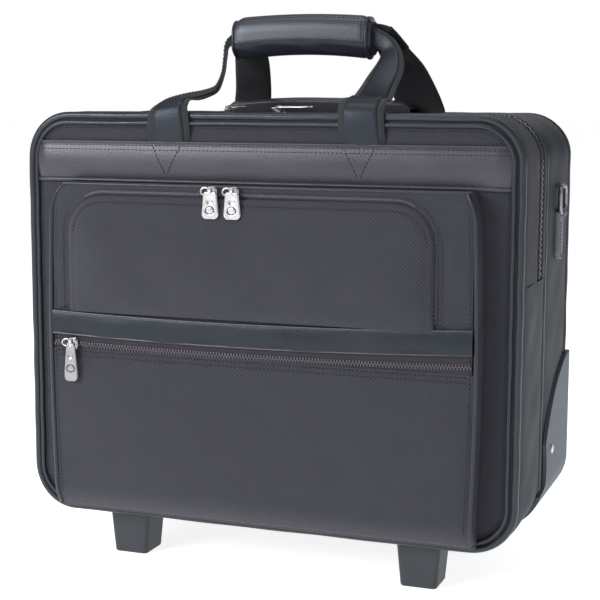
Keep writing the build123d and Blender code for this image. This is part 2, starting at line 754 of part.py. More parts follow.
SLIDER_L = 9.0
SLIDER_W = 7.6
SLIDER_T = 3.0
PIN_R = 0.8
PIN_HIGH = SLIDER_T + 2.2
SLIDER_R = 2.2
LUG_T = 1.5
LUG_D = 3.4
LUG_CAP = 0.6
NECK_W = 5.0
NECK_L = 4.5
SHOULDER_L = 8.0
PULL_T = 2.2


def pin_line(plane):
    """A plane square to the hinge pin of a slider, at the middle of the pin."""
    pivot = plane.origin + plane.z_dir * PIN_HIGH
    return Plane(origin=pivot, x_dir=plane.y_dir, z_dir=plane.x_dir)


def slider_part(plane):
    """A slider with two lugs and a pin. The plane's local X runs along the pin."""
    with BuildPart() as made:
        with BuildSketch(plane):
            RectangleRounded(SLIDER_L, SLIDER_W, SLIDER_R)
        extrude(amount=SLIDER_T)
        with BuildSketch(plane.offset(SLIDER_T)):
            with Locations((-NECK_W / 2 - LUG_T, 0), (NECK_W / 2 + LUG_T, 0)):
                Rectangle(LUG_T, LUG_D)
        extrude(amount=PIN_HIGH - SLIDER_T + PIN_R + LUG_CAP)
        with BuildSketch(pin_line(plane)):
            Circle(PIN_R)
        extrude(amount=NECK_W / 2 + LUG_T, both=True)
    return made.part


def pull_part(plane, width, length):
    """A flat cast pull on the pin of a slider, lying along the plane's local -Y."""
    with BuildPart() as made:
        with BuildSketch(plane.offset(PIN_HIGH - PULL_T / 2)):
            with BuildLine():
                neck = Line((-NECK_W / 2, 0), (NECK_W / 2, 0))
                right_neck = Line(neck @ 1, (NECK_W / 2, -NECK_L))
                right_side = Line(right_neck @ 1, (width / 2, -SHOULDER_L))
                right_edge = Line(right_side @ 1, (width / 2, width / 2 - length))
                tip = ThreePointArc(
                    right_edge @ 1, (0, -length), (-width / 2, width / 2 - length)
                )
                left_edge = Line(tip @ 1, (-width / 2, -SHOULDER_L))
                left_side = Line(left_edge @ 1, (-NECK_W / 2, -NECK_L))
                Line(left_side @ 1, neck @ 0)
            make_face()
        extrude(amount=PULL_T)
        with BuildSketch(pin_line(plane)):
            Circle(2 * PIN_R)
        extrude(amount=NECK_W / 2, both=True)
        with BuildSketch(pin_line(plane)):
            Circle(PIN_R + RUNNING_GAP)
        extrude(amount=NECK_W, both=True, mode=Mode.SUBTRACT)
    return made.part


SLIDER_Y = POCKET_FACE_Y - FLAP_TAPE_T - GAP
LOWER_SLIDER_Y = POCKET_FACE_Y - GAP
MAIN_SLIDER_Z = ROOF_Z + GAP
slider_places = {
    "organiser_left": (Plane((-33.5, SLIDER_Y, FLAP_ZIP_Z), (1, 0, 0), (0, -1, 0)), 14.5, 22),
    "organiser_right": (Plane((-14.5, SLIDER_Y, FLAP_ZIP_Z), (1, 0, 0), (0, -1, 0)), 14.5, 22),
    "lower": (Plane((-163, LOWER_SLIDER_Y, LOWER_ZIP_Z), (1, 0, 0), (0, -1, 0)), 14, 34),
    "main_left": (Plane((-58, ZIP_Y, MAIN_SLIDER_Z), (-1, 0, 0), (0, 0, 1)), 12, 30),
    "main_right": (Plane((-12, ZIP_Y, MAIN_SLIDER_Z), (0, 1, 0), (0, 0, 1)), 12, 32),
}
for name, (place, pull_w, pull_l) in slider_places.items():
    save(slider_part(place), f"slider_{name}")
    save(pull_part(place, pull_w, pull_l), f"pull_{name}")

# ======== Carrying handle ========


def strap_part(inner_route, arch_y, width):
    """A flat strap: two legs that follow a side-view route, joined by an arch through the grip."""
    run_low_z = STRAP_RUN_Z - STRAP_RUN_H / 2
    run_high_z = STRAP_RUN_Z + STRAP_RUN_H / 2
    with BuildPart() as strap:
        for side in SIDES.values():
            with BuildSketch(Plane.YZ.offset(side * STRAP_X - width / 2)):
                with BuildLine():
                    FilletPolyline(*inner_route, radius=BEND_R)
                    offset(amount=STRAP_T, side=Side.LEFT)
                make_face()
            extrude(amount=width)
        with BuildSketch(facing_front(arch_y[1])):
            with Locations((0, (CLEARANCE + run_high_z) / 2)):
                RectangleRounded(2 * STRAP_X + width, run_high_z - CLEARANCE, ARCH_R)
            with Locations((0, run_low_z / 2)):
                Rectangle(2 * STRAP_X - width, run_low_z, mode=Mode.SUBTRACT)
            with Locations((0, ARCH_LOW_Z / 2)):
                Rectangle(2 * BODY_W, ARCH_LOW_Z, mode=Mode.SUBTRACT)
        extrude(amount=arch_y[1] - arch_y[0])
    return strap.part


strap_face_y = PANEL_FACE_Y - BAND_T - 0.8
front_route = [
    (strap_face_y, BAND_LOW_Z + 6),
    (strap_face_y, TOP_Z + 3),
    (-78, TOP_Z + 9),
    (-40, 400),
    (-12, 409),
    (-1, 418),
    (-1, 430),
]
save(strap_part(front_route, (-1 - STRAP_T, -1), STRAP_W), "handle_strap_front")

rear_route = [
    (1, 430),
    (1, 421),
    (14, 415),
    (48, 406),
    (REAR_STRAP_Y, 398),
    (REAR_STRAP_Y, TOP_Z),
]
save(strap_part(rear_route, (1, 1 + STRAP_T), REAR_STRAP_W), "handle_strap_rear")

with BuildPart() as grip_wrap:
    grip_middle = (0, (GRIP_LOW_Z + GRIP_HIGH_Z) / 2)
    with BuildSketch(Plane.YZ):
        with Locations(grip_middle):
            RectangleRounded(GRIP_T, GRIP_HIGH_Z - GRIP_LOW_Z, GRIP_R)
    extrude(amount=GRIP_HALF, both=True)
    grip_ends = grip_wrap.faces().filter_by(Plane.YZ).sort_by(Axis.X)
    fillet(grip_ends[0].edges() + grip_ends[-1].edges(), GRIP_FILLET)
    with BuildSketch(Plane.YZ):
        with Locations((0, STRAP_RUN_Z)):
            Rectangle(2 * STRAP_T + STRAP_ROOM[0], STRAP_RUN_H + STRAP_ROOM[1])
    extrude(amount=GRIP_HALF + CUT, both=True, mode=Mode.SUBTRACT)
save(grip_wrap.part, "grip_wrap")
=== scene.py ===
"""Looks of a wheeled pilot's flight case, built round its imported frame."""
import math

import bmesh
import bpy
import numpy as np
from mathutils import Matrix, Vector


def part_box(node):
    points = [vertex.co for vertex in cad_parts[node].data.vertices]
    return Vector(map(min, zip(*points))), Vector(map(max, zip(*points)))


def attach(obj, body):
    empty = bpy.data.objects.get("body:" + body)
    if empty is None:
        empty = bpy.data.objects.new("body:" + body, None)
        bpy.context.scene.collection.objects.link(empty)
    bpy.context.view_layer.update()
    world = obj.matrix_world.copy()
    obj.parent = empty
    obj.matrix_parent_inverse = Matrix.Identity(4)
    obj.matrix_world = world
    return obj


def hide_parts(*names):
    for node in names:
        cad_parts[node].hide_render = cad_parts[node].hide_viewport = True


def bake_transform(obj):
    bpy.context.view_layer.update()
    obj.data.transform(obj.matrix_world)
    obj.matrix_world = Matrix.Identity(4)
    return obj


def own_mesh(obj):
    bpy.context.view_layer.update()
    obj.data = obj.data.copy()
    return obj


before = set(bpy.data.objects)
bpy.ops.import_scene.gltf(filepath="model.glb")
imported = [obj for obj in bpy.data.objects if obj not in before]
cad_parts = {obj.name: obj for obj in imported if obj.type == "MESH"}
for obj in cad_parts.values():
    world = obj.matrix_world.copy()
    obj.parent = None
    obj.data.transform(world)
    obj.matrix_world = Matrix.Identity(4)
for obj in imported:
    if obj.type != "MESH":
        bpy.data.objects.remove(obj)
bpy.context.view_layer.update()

# Shapes are worked out in millimetres. Blender's objects are in metres.
MM = 1000.0
SIDES = {"left": -1, "right": 1}
FORWARD, BACKWARD = (0.0, -1.0, 0.0), (0.0, 1.0, 0.0)
RIGHTWARD, UPWARD = (1.0, 0.0, 0.0), (0.0, 0.0, 1.0)


def span(node):
    """A CAD node's lowest and highest corner, in millimetres."""
    low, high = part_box(node)
    return [v * MM for v in low], [v * MM for v in high]


# ---- Sizes read from the frame, in millimetres ----
body_low, body_high = span("front_piping")
HALF_W = body_high[0]
BASE_Z, TOP_Z = body_low[2], body_high[2]
FRONT_Y = body_low[1]
PIPING = body_high[1] - body_low[1]
REAR_Y = span("rear_piping")[1][1]
MID_Y = (span("middle_piping")[0][1] + span("middle_piping")[1][1]) / 2
MID_Z = (BASE_Z + TOP_Z) / 2
HALF_H = (TOP_Z - BASE_Z) / 2
CORNER_R = 38.0
SKIN = 1.0
ZIP_END_Z = span("upper_gusset")[0][2]
RIM_REAR_Y = span("door_rim")[1][1]
GUSSET_FRONT_Y = span("upper_gusset")[0][1]
ZIP_Y = (RIM_REAR_Y + GUSSET_FRONT_Y) / 2
BAND_LOW_Z, BAND_HIGH_Z = span("top_band")[0][2], span("top_band")[1][2]
PANEL_FACE_Y = span("front_pocket")[1][1]
pocket_low, pocket_high = span("front_pocket")
POCKET_FACE_Y = pocket_low[1]
flap_low, flap_high = span("organiser_flap")
FLAP_X = (flap_low[0] + flap_high[0]) / 2
FLAP_HALF = (flap_high[0] - flap_low[0]) / 2
FLAP_R = 32.0
STRIP_LOW_Z, STRIP_HIGH_Z = span("middle_strip")[0][2], span("middle_strip")[1][2]
LOWER_ZIP_Z = (span("lower_zip_tape")[0][2] + span("lower_zip_tape")[1][2]) / 2
grip_low, grip_high = span("grip_wrap")


# ======== Mesh helpers ========


def make_piece(name, verts, faces, materials, corner_uvs=None, face_slots=None, sharp=40):
    """An object from points in millimetres, with smooth shading and outward normals."""
    mesh = bpy.data.meshes.new(name)
    mesh.from_pydata((np.asarray(verts, float) / MM).tolist(), [], faces)
    for material in materials:
        mesh.materials.append(material)
    if corner_uvs is not None:
        layer = mesh.uv_layers.new(name="cloth")
        layer.data.foreach_set("uv", (np.asarray(corner_uvs, float) / MM).ravel())
    if face_slots is not None:
        mesh.polygons.foreach_set("material_index", face_slots)
    shape = bmesh.new()
    shape.from_mesh(mesh)
    bmesh.ops.recalc_face_normals(shape, faces=shape.faces)
    shape.to_mesh(mesh)
    shape.free()
    mesh.shade_smooth()
    mesh.set_sharp_from_angle(angle=math.radians(sharp))
    piece = bpy.data.objects.new(name, mesh)
    bpy.context.scene.collection.objects.link(piece)
    return piece


def place(piece, body, slot, *nodes):
    """Rides a finished piece on its body and hides the frame parts that it replaces."""
    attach(piece, body)
    if nodes:
        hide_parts(*nodes)
    return piece


def lengths(points):
    """Distance along a row of points, starting at 0."""
    steps = np.linalg.norm(np.diff(points, axis=0), axis=1)
    return np.concatenate([[0], np.cumsum(steps)])


def same(way, points):
    """One way, repeated for each point."""
    return np.tile(np.array(way, float), (len(points), 1))


def heading(points):
    """The way a run of points heads at each of them."""
    ways = np.gradient(points, axis=0)
    return ways / np.linalg.norm(ways, axis=1)[:, None]


def sweep(path, across, out, profile, closed_path=False):
    """Points, quads and cloth coordinates of a closed profile carried along a path.
    A profile point is (across, out); there may be one profile for each station."""
    path, across, out = (np.asarray(a, float) for a in (path, across, out))
    profile = np.asarray(profile, float)
    if profile.ndim == 2:
        profile = np.repeat(profile[None], len(path), axis=0)
    n, m = profile.shape[:2]
    points = (
        path[:, None, :]
        + profile[:, :, 0:1] * across[:, None, :]
        + profile[:, :, 1:2] * out[:, None, :]
    )
    along = lengths(np.vstack([path, path[:1]]) if closed_path else path)
    around = lengths(np.vstack([profile[n // 2], profile[n // 2][:1]]))
    faces, uvs = [], []
    for i in range(n if closed_path else n - 1):
        k = (i + 1) % n
        for j in range(m):
            j2 = (j + 1) % m
            faces.append((i * m + j, k * m + j, k * m + j2, i * m + j2))
            uvs += [(along[i], around[j]), (along[i + 1], around[j])]
            uvs += [(along[i + 1], around[j + 1]), (along[i], around[j + 1])]
    if not closed_path:
        for start in (0, (n - 1) * m):
            faces.append(tuple(start + j for j in range(m)))
            uvs += [(0.0, around[j]) for j in range(m)]
    return points.reshape(-1, 3), faces, uvs


def lofted(loops):
    """Points and quads of a row of closed loops, with both ends capped."""
    m = len(loops[0])
    last = (len(loops) - 1) * m
    faces = [
        (i * m + j, (i + 1) * m + j, (i + 1) * m + (j + 1) % m, i * m + (j + 1) % m)
        for i in range(len(loops) - 1) for j in range(m)
    ]
    faces += [tuple(range(m)), tuple(range(last, last + m))]
    return np.array(loops).reshape(-1, 3), faces


def two_sheets(rows, columns):
    """Quads of two grids of points, one behind the other, joined round their rims."""
    faces = []
    size = rows * columns
    for layer in (0, 1):
        for i in range(rows - 1):
            for j in range(columns - 1):
                a = layer * size + i * columns + j
                faces.append((a, a + 1, a + columns + 1, a + columns))
    rim = list(range(columns)) + [i * columns + columns - 1 for i in range(1, rows)]
    rim += [(rows - 1) * columns + j for j in range(columns - 2, -1, -1)]
    rim += [i * columns for i in range(rows - 2, 0, -1)]
    for a, b in zip(rim, rim[1:] + rim[:1]):
        faces.append((a, b, b + size, a + size))
    return faces


def tube(name, path, across, out, profile, material, body, slot, *nodes, closed=False):
    """A profile carried along a path, as a finished piece."""
    verts, faces, uvs = sweep(path, across, out, profile, closed)
    return place(make_piece(name, verts, faces, [material], uvs), body, slot, *nodes)


def sewn(name, path, across, out, body, slot, thread=None, **look):
    """A row of stitches, as a finished piece, in the common thread unless another is given."""
    return place(stitches(name, path, across, out, thread or THREAD, **look), body, slot)


def circle(radius, steps=12, squash=1.0):
    """A round profile."""
    turn = np.linspace(0, 2 * math.pi, steps, endpoint=False)
    return np.stack([radius * np.cos(turn), radius * squash * np.sin(turn)], axis=1)


def flat_profile(half, thickness, edge=0.8, steps=6):
    """A flat strip's profile with rounded edges, lying from out 0 to its thickness."""
    xs = np.linspace(-half + edge, half - edge, steps)
    top = [(x, thickness) for x in xs]
    bottom = [(x, 0) for x in xs[::-1]]
    return np.array(
        top + [(half, thickness * 0.65), (half, thickness * 0.35)]
        + bottom + [(-half, thickness * 0.35), (-half, thickness * 0.65)]
    )


def outline(inset, y, low_z=None, high_z=None, step=7.0):
    """Points round the front-view outline of the case, and the way out at each.
    With low_z, only the stretch above it; with high_z, only the stretch below it."""
    half_w, half_h, r = HALF_W - inset, HALF_H - inset, CORNER_R - inset
    points, ways = [], []
    for quarter, (sx, sz) in enumerate(((1, 1), (-1, 1), (-1, -1), (1, -1))):
        for k in range(13):
            turn = math.radians(90 * quarter + 90 * k / 12)
            points.append(
                (sx * (half_w - r) + r * math.cos(turn), MID_Z + sz * (half_h - r) + r * math.sin(turn))
            )
            ways.append((math.cos(turn), math.sin(turn)))
    points, ways = np.array(points), np.array(ways)
    if low_z is not None:
        points, ways = points[:26], ways[:26]
        points = np.vstack([[(half_w, low_z)], points, [(-half_w, low_z)]])
        ways = np.vstack([[(1, 0)], ways, [(-1, 0)]])
    elif high_z is not None:
        points, ways = points[26:], ways[26:]
        points = np.vstack([[(-half_w, high_z)], points, [(half_w, high_z)]])
        ways = np.vstack([[(-1, 0)], ways, [(1, 0)]])
    else:
        points = np.vstack([points, points[:1]])
        ways = np.vstack([ways, ways[:1]])
    dense_points, dense_ways = [], []
    for a, b, wa, wb in zip(points[:-1], points[1:], ways[:-1], ways[1:]):
        count = max(1, int(np.linalg.norm(b - a) / step))
        for k in range(count):
            dense_points.append(a + (b - a) * k / count)
            dense_ways.append(wa + (wb - wa) * k / count)
    if low_z is not None or high_z is not None:
        dense_points.append(points[-1])
        dense_ways.append(ways[-1])
    flat, way = np.array(dense_points), np.array(dense_ways)
    path = np.stack([flat[:, 0], np.full(len(flat), float(y)), flat[:, 1]], axis=1)
    out = np.stack([way[:, 0], np.zeros(len(way)), way[:, 1]], axis=1)
    return path, out


def dense(points, step):
    """The same open run of points, none further apart than a step."""
    rows = []
    for a, b in zip(points[:-1], points[1:]):
        count = max(1, int(math.ceil(np.linalg.norm(b - a) / step)))
        rows += [a + (b - a) * k / count for k in range(count)]
    return np.array(rows + [points[-1]])


def ripple(points, height, wavelength, seed=0.0):
    """A gentle unevenness for each point, the same every run."""
    p = np.asarray(points, float) * (2 * math.pi / wavelength)
    x, y, z = p[:, 0] + seed, p[:, 1] * 1.3 + 2 * seed, p[:, 2] * 0.9 - seed
    waves = np.sin(x + 1.7 * np.sin(z * 0.6)) * np.cos(z * 0.8 + y) + 0.6 * np.sin(1.9 * z - y + x * 0.4)
    return height * 0.6 * waves


def wall(name, front_y, rear_y, outer, inner, low_z=None, high_z=None, thickness=4.0, crown=1.2,
         uneven=0.5, seed=0.0):
    """A soft wall that follows the outline, slightly puffed, lined on its inside."""
    path, out = outline(SKIN, (front_y + rear_y) / 2, low_z, high_z)
    closed = low_z is None and high_z is None
    half = (rear_y - front_y) / 2
    steps = max(6, int(2 * half / 7))
    ys = np.linspace(-half, half, steps)
    top = [(y, crown * (1 - (y / half) ** 4) - 0.6 * (abs(y) > half - 0.1)) for y in ys]
    under = [(y, -thickness) for y in ys[::-1]]
    verts, faces, uvs = sweep(path, same(BACKWARD, path), out, top + under, closed)
    m = 2 * steps
    bumps = ripple(verts, uneven, 90, seed)
    order = np.arange(len(verts)) % m
    taper = np.sin(np.pi * np.clip((order % steps) / (steps - 1), 0, 1)) * (order < steps)
    verts = verts + np.repeat(out, m, axis=0) * (bumps * taper)[:, None]
    slots = [1 if steps - 1 <= k % m else 0 for k in range(len(faces))]
    return make_piece(name, verts, faces, [outer, inner], uvs, slots)


def bead(name, inset, y, radius, wander=0.35, seed=0.0):
    """A round leather piping that follows the whole outline of the case."""
    path, out = outline(inset, y, step=5.0)
    path = path + out * ripple(path, wander, 70, seed)[:, None]
    verts, faces, uvs = sweep(path, same(BACKWARD, path), out, circle(radius, 14), True)
    return make_piece(name, verts, faces, [HIDE_DARK], uvs)


def stitches(name, path, across, out, material, pitch=3.6, length=2.5, thick=0.55, rise=0.3):
    """A row of short sewn stitches along a path."""
    path, across, out = (np.asarray(a, float) for a in (path, across, out))
    along = lengths(path)
    verts, faces = [], []
    for start in np.arange(pitch / 2, along[-1] - length, pitch):
        ends = []
        for s in (start, start + length * 0.18, start + length * 0.82, start + length):
            ends.append([np.interp(s, along, path[:, k]) for k in range(3)])
        k = min(int(np.searchsorted(along, start)), len(path) - 1)
        w, o = across[k], out[k]
        base = len(verts)
        for e, (point, scale) in enumerate(zip(ends, (0.35, 1, 1, 0.35))):
            lift = rise if 0 < e < 3 else -0.15
            for a, b in ((1, 0), (0.5, 1), (-0.5, 1), (-1, 0), (0, -0.7)):
                verts.append(np.array(point) + w * a * thick / 2 * scale + o * (b * thick / 2 * scale + lift))
        for e in range(3):
            for j in range(5):
                a, b = base + e * 5 + j, base + e * 5 + (j + 1) % 5
                faces.append((a, b, b + 5, a + 5))
        faces.append(tuple(base + j for j in range(5)))
        faces.append(tuple(base + 15 + j for j in range(5)))
    return make_piece(name, verts, faces, [material])


def zip_teeth(name, path, across, out, material, pitch=1.5, reach=2.3, tall=0.9):
    """The two rows of coil that mesh along a closed zip."""
    path, across, out = (np.asarray(a, float) for a in (path, across, out))
    along = lengths(path)
    tangent = heading(path)
    verts, faces = [], []
    count = int(along[-1] / pitch)
    for t in range(count):
        s = (t + 0.5) * pitch
        k = min(int(np.searchsorted(along, s)), len(path) - 1)
        centre = np.array([np.interp(s, along, path[:, a]) for a in range(3)])
        side = 1 if t % 2 else -1
        w, o, d = across[k] * side, out[k], tangent[k]
        base = len(verts)
        for a, b in ((-0.5, 0.0), (-0.3, 0.75), (reach * 0.55, 1.0), (reach, 0.55), (reach, 0.0)):
            for c in (-0.42, 0.42):
                verts.append(centre + w * a + o * b * tall + d * c * pitch * 1.1)
        for j in range(4):
            faces.append((base + 2 * j, base + 2 * j + 1, base + 2 * j + 3, base + 2 * j + 2))
        faces.append((base, base + 1, base + 9, base + 8))
        faces.append((base, base + 2, base + 4, base + 6, base + 8))
        faces.append((base + 1, base + 3, base + 5, base + 7, base + 9))
    return make_piece(name, verts, faces, [material], sharp=50)


def row_limits(z, centre_x, half, low_z, high_z, low_r, high_r):
    """The left and right end of one level row across a round-cornered shape."""
    cut = 0.0
    if z > high_z - high_r:
        cut = high_r - math.sqrt(max(high_r ** 2 - (z - high_z + high_r) ** 2, 0))
    elif z < low_z + low_r:
        cut = low_r - math.sqrt(max(low_r ** 2 - (low_z + low_r - z) ** 2, 0))
    return centre_x - half + cut, centre_x + half - cut


def edge_distance(x, z, centre_x, half, low_z, high_z, low_r, high_r):
    """How far inside the edge of a round-cornered shape a point is."""
    r = high_r if z > (low_z + high_z) / 2 else low_r
    qx = abs(x - centre_x) - (half - r)
    qz = abs(z - (low_z + high_z) / 2) - ((high_z - low_z) / 2 - r)
    return r - math.hypot(max(qx, 0), max(qz, 0)) - min(max(qx, qz), 0)


def panel(name, shape, front, back, outer, inner, columns=60, rows=40):
    """A closed panel facing the front: shape is its outline, front and back give its depth."""
    low_z, high_z = shape[2:4]
    turn = np.linspace(0, math.pi, rows)
    spread = 0.55 * np.cos(turn) + 0.45 * (1 - 2 * turn / math.pi)
    verts, uv = [], []
    for face in (front, back):
        for z in (low_z + high_z) / 2 - (high_z - low_z) / 2 * spread:
            x0, x1 = row_limits(z, *shape)
            for t in np.linspace(0, 1, columns):
                ease = 0.5 - 0.5 * math.cos(math.pi * t)
                x = x0 + (x1 - x0) * (0.5 * ease + 0.5 * t)
                verts.append((x, face(x, z, edge_distance(x, z, *shape)), z))
                uv.append((x, z))
    faces = two_sheets(rows, columns)
    quads = (rows - 1) * (columns - 1)
    slots = [0] * quads + [1] * quads + [0] * (len(faces) - 2 * quads)
    uvs = [uv[v] for f in faces for v in f]
    return make_piece(name, verts, faces, [outer, inner], uvs, slots, sharp=60)


HELD_DEPTH, FRONT_FACING, SWELL_PASSES = 0.35, -0.3, 14


def puff(piece, pressure, cap, slack=0.02, frames=20):
    """Fills a closed pad by cloth simulation: its back and rim are held, and its front swells."""
    mesh = piece.data
    count = len(mesh.vertices)
    rest = np.empty(count * 3)
    mesh.vertices.foreach_get("co", rest)
    rest = rest.reshape(-1, 3)
    normals = np.array([v.normal for v in mesh.vertices])
    held = piece.vertex_groups.new(name="held")
    deep = rest[:, 1] > rest[:, 1].min() + HELD_DEPTH * (rest[:, 1].max() - rest[:, 1].min())
    free = ~(deep | (normals[:, 1] > FRONT_FACING))
    held.add(np.flatnonzero(~free).tolist(), 1.0, "REPLACE")
    cloth = piece.modifiers.new("cloth", "CLOTH")
    settings = cloth.settings
    settings.vertex_group_mass = "held"
    settings.use_pressure = True
    settings.uniform_pressure_force = pressure
    settings.effector_weights.gravity = 0
    settings.shrink_min = -slack
    settings.bending_stiffness = 18.0
    settings.quality = 6
    cloth.collision_settings.use_self_collision = False
    cloth.point_cache.frame_start = 1
    cloth.point_cache.frame_end = frames
    for step in range(1, frames + 1):
        bpy.context.scene.frame_set(step)
    graph = bpy.context.evaluated_depsgraph_get()
    moved = piece.evaluated_get(graph).to_mesh()
    after = np.empty(count * 3)
    moved.vertices.foreach_get("co", after)
    after = after.reshape(-1, 3)
    piece.evaluated_get(graph).to_mesh_clear()
    piece.modifiers.remove(cloth)
    piece.vertex_groups.clear()
    move = after - rest
    ends = np.array([edge.vertices[:] for edge in mesh.edges])
    for _ in range(SWELL_PASSES):
        total, near = np.zeros((count, 3)), np.zeros(count)
        for a, b in ((0, 1), (1, 0)):
            np.add.at(total, ends[:, a], move[ends[:, b]])
            np.add.at(near, ends[:, a], 1)
        move = np.where(free[:, None], total / near[:, None], move)
    size = np.linalg.norm(move, axis=1)
    limit = cap / MM
    scale = np.where(size > 1e-9, limit * np.tanh(size / limit) / np.maximum(size, 1e-9), 0)
    mesh.vertices.foreach_set("co", (rest + move * scale[:, None]).ravel())
    mesh.update()
    bpy.context.scene.frame_set(1)
    return piece


def spline(points, steps=8):
    """A smooth run through a few given points (Catmull-Rom)."""
    p = np.asarray(points, float)
    p = np.vstack([2 * p[0] - p[1], p, 2 * p[-1] - p[-2]])
    rows = []
    for i in range(1, len(p) - 2):
        for k in range(steps):
            t = k / steps
            a, b, c, d = p[i - 1], p[i], p[i + 1], p[i + 2]
            rows.append(
                0.5 * (2 * b + (c - a) * t + (2 * a - 5 * b + 4 * c - d) * t ** 2
                       + (3 * b - a - 3 * c + d) * t ** 3)
            )
    rows.append(p[-2])
    return np.array(rows)


# ======== Materials ========


def node(tree, kind, inputs=None, **settings):
    """One shader node, with its settings, and its inputs given as values or sockets."""
    made = tree.nodes.new(kind)
    for key, value in settings.items():
        setattr(made, key, value)
    for key, value in (inputs or {}).items():
        if isinstance(value, bpy.types.NodeSocket):
            tree.links.new(value, made.inputs[key])
        else:
            made.inputs[key].default_value = value
    return made


def maths(tree, operation, a, b=0.0):
    """The result of one sum."""
    return node(tree, "ShaderNodeMath", {0: a, 1: b}, operation=operation).outputs[0]


def blank(name, roughness, metallic=0.0, specular=0.5, sheen=0.0):
    """A new material, its node tree and its shader."""
    made = bpy.data.materials.new(name)
    made.use_nodes = True
    shader = made.node_tree.nodes["Principled BSDF"]
    shader.inputs["Roughness"].default_value = roughness
    shader.inputs["Metallic"].default_value = metallic
    shader.inputs["Specular IOR Level"].default_value = specular
    shader.inputs["Sheen Weight"].default_value = sheen
    shader.inputs["Sheen Roughness"].default_value = 0.5
    return made, made.node_tree, shader


def tint(tree, shader, amount, dark, light):
    """Colours the shader between two shades."""
    mix = node(
        tree, "ShaderNodeMix", {"Factor": amount, "A": (*dark, 1), "B": (*light, 1)}, data_type="RGBA"
    )
    tree.links.new(mix.outputs["Result"], shader.inputs["Base Color"])


def relief(tree, shader, height, strength, distance):
    """Gives the shader a fine relief."""
    bump = node(tree, "ShaderNodeBump", {"Height": height, "Strength": strength, "Distance": distance})
    tree.links.new(bump.outputs["Normal"], shader.inputs["Normal"])


def ridges(tree, value, pitch):
    """Rounded ridges a pitch apart along one coordinate."""
    return maths(tree, "ABSOLUTE", maths(tree, "SINE", maths(tree, "MULTIPLY", value, math.pi / pitch)))


def noise(tree, where, scale, detail):
    """Soft noise at a scale."""
    inputs = {"Vector": where, "Scale": scale, "Detail": detail}
    return node(tree, "ShaderNodeTexNoise", inputs).outputs["Fac"]


def blended(tree, *shares):
    """The sum of several values, each times its share."""
    parts = [maths(tree, "MULTIPLY", value, share) for value, share in shares]
    total = parts[0]
    for part in parts[1:]:
        total = maths(tree, "ADD", total, part)
    return total


def cloudy_gloss(tree, shader, cloud, spread, lowest):
    """Lets the roughness rise from its lowest with a cloud."""
    worn = node(tree, "ShaderNodeMath", {0: cloud, 1: spread, 2: lowest}, operation="MULTIPLY_ADD")
    tree.links.new(worn.outputs[0], shader.inputs["Roughness"])


def woven(name, dark, light, thread, strength=0.5, sheen=0.15):
    """Basket-woven cloth, drawn along the cloth's own coordinates in metres, with painted shade and sheen in
    its weave.
    """
    made, tree, shader = blank(name, 0.62, specular=0.35, sheen=sheen)
    uv = node(tree, "ShaderNodeTexCoord").outputs["UV"]
    parts = node(tree, "ShaderNodeSeparateXYZ", {"Vector": uv})
    waves = [ridges(tree, parts.outputs[axis], thread) for axis in ("X", "Y")]
    squares = {"Vector": uv, "Scale": 1 / (2 * thread)}
    checker = node(tree, "ShaderNodeTexChecker", squares).outputs["Fac"]
    over = maths(tree, "MULTIPLY", checker, waves[0])
    under = maths(tree, "MULTIPLY", maths(tree, "SUBTRACT", 1.0, checker), waves[1])
    height = maths(tree, "ADD", over, under)
    cloud = noise(tree, uv, 38.0, 4.0)
    fuzz = noise(tree, uv, 900.0, 2.0)
    rows = ridges(tree, parts.outputs["Y"], 2 * thread)
    # The shade mixes thread height (lighter crests, darker dips between threads: painted shade), the checker
    # (lighter squares where one thread lies over: painted sheen), ridged rows (lighter crests: painted shade)
    # and two noises, the cloth's own uneven tone.
    shade = blended(tree, (height, 0.3), (checker, 0.32), (rows, 0.1), (cloud, 0.2), (fuzz, 0.2))
    tint(tree, shader, shade, dark, light)
    relief(tree, shader, height, strength, thread * 0.35)
    return made


def hide(name, dark, light, roughness=0.38, specular=0.5, gloss=(0.74, 0.86, 1.0)):
    """Smooth coated leather with a fine pebble and a slow change of shade."""
    made, tree, shader = blank(name, roughness, specular=specular)
    shader.inputs["Specular Tint"].default_value = (*gloss, 1.0)
    where = node(tree, "ShaderNodeTexCoord").outputs["Object"]
    pebble = node(tree, "ShaderNodeTexVoronoi", {"Vector": where, "Scale": 900.0}).outputs["Distance"]
    cloud = noise(tree, where, 22.0, 5.0)
    fine = noise(tree, where, 420.0, 3.0)
    tint(tree, shader, blended(tree, (cloud, 0.8), (fine, 0.2)), dark, light)
    cloudy_gloss(tree, shader, cloud, 0.22, roughness - 0.1)
    relief(tree, shader, maths(tree, "ADD", pebble, maths(tree, "MULTIPLY", fine, 0.6)), 0.25, 0.0004)
    return made


def ribbed(name, dark, light, rib):
    """Webbing whose ribs run across it every few threads, with painted shade in the grooves between them."""
    made, tree, shader = blank(name, 0.7, specular=0.3, sheen=0.1)
    uv = node(tree, "ShaderNodeTexCoord").outputs["UV"]
    parts = node(tree, "ShaderNodeSeparateXYZ", {"Vector": uv})
    ribs = ridges(tree, parts.outputs["X"], rib)
    rows = ridges(tree, parts.outputs["Y"], 1.3 * rib)
    height = maths(tree, "MULTIPLY", ribs, maths(tree, "ADD", maths(tree, "MULTIPLY", rows, 0.5), 0.5))
    # The colour follows the ribs' height: lighter crests and darker grooves are painted shade.
    tint(tree, shader, height, dark, light)
    relief(tree, shader, height, 0.7, rib * 0.4)
    return made


def moulded(name, dark, light, roughness, grain=0.2, metallic=0.0, scale=700.0, specular=0.5):
    """Moulded plastic or finished metal with a fine grain and slight wear in its gloss."""
    made, tree, shader = blank(name, roughness, metallic=metallic, specular=specular)
    where = node(tree, "ShaderNodeTexCoord").outputs["Object"]
    grainy = noise(tree, where, scale, 3.0)
    cloud = noise(tree, where, 30.0, 4.0)
    tint(tree, shader, cloud, dark, light)
    cloudy_gloss(tree, shader, cloud, 0.16, roughness - 0.08)
    relief(tree, shader, grainy, grain, 0.0003)
    return made
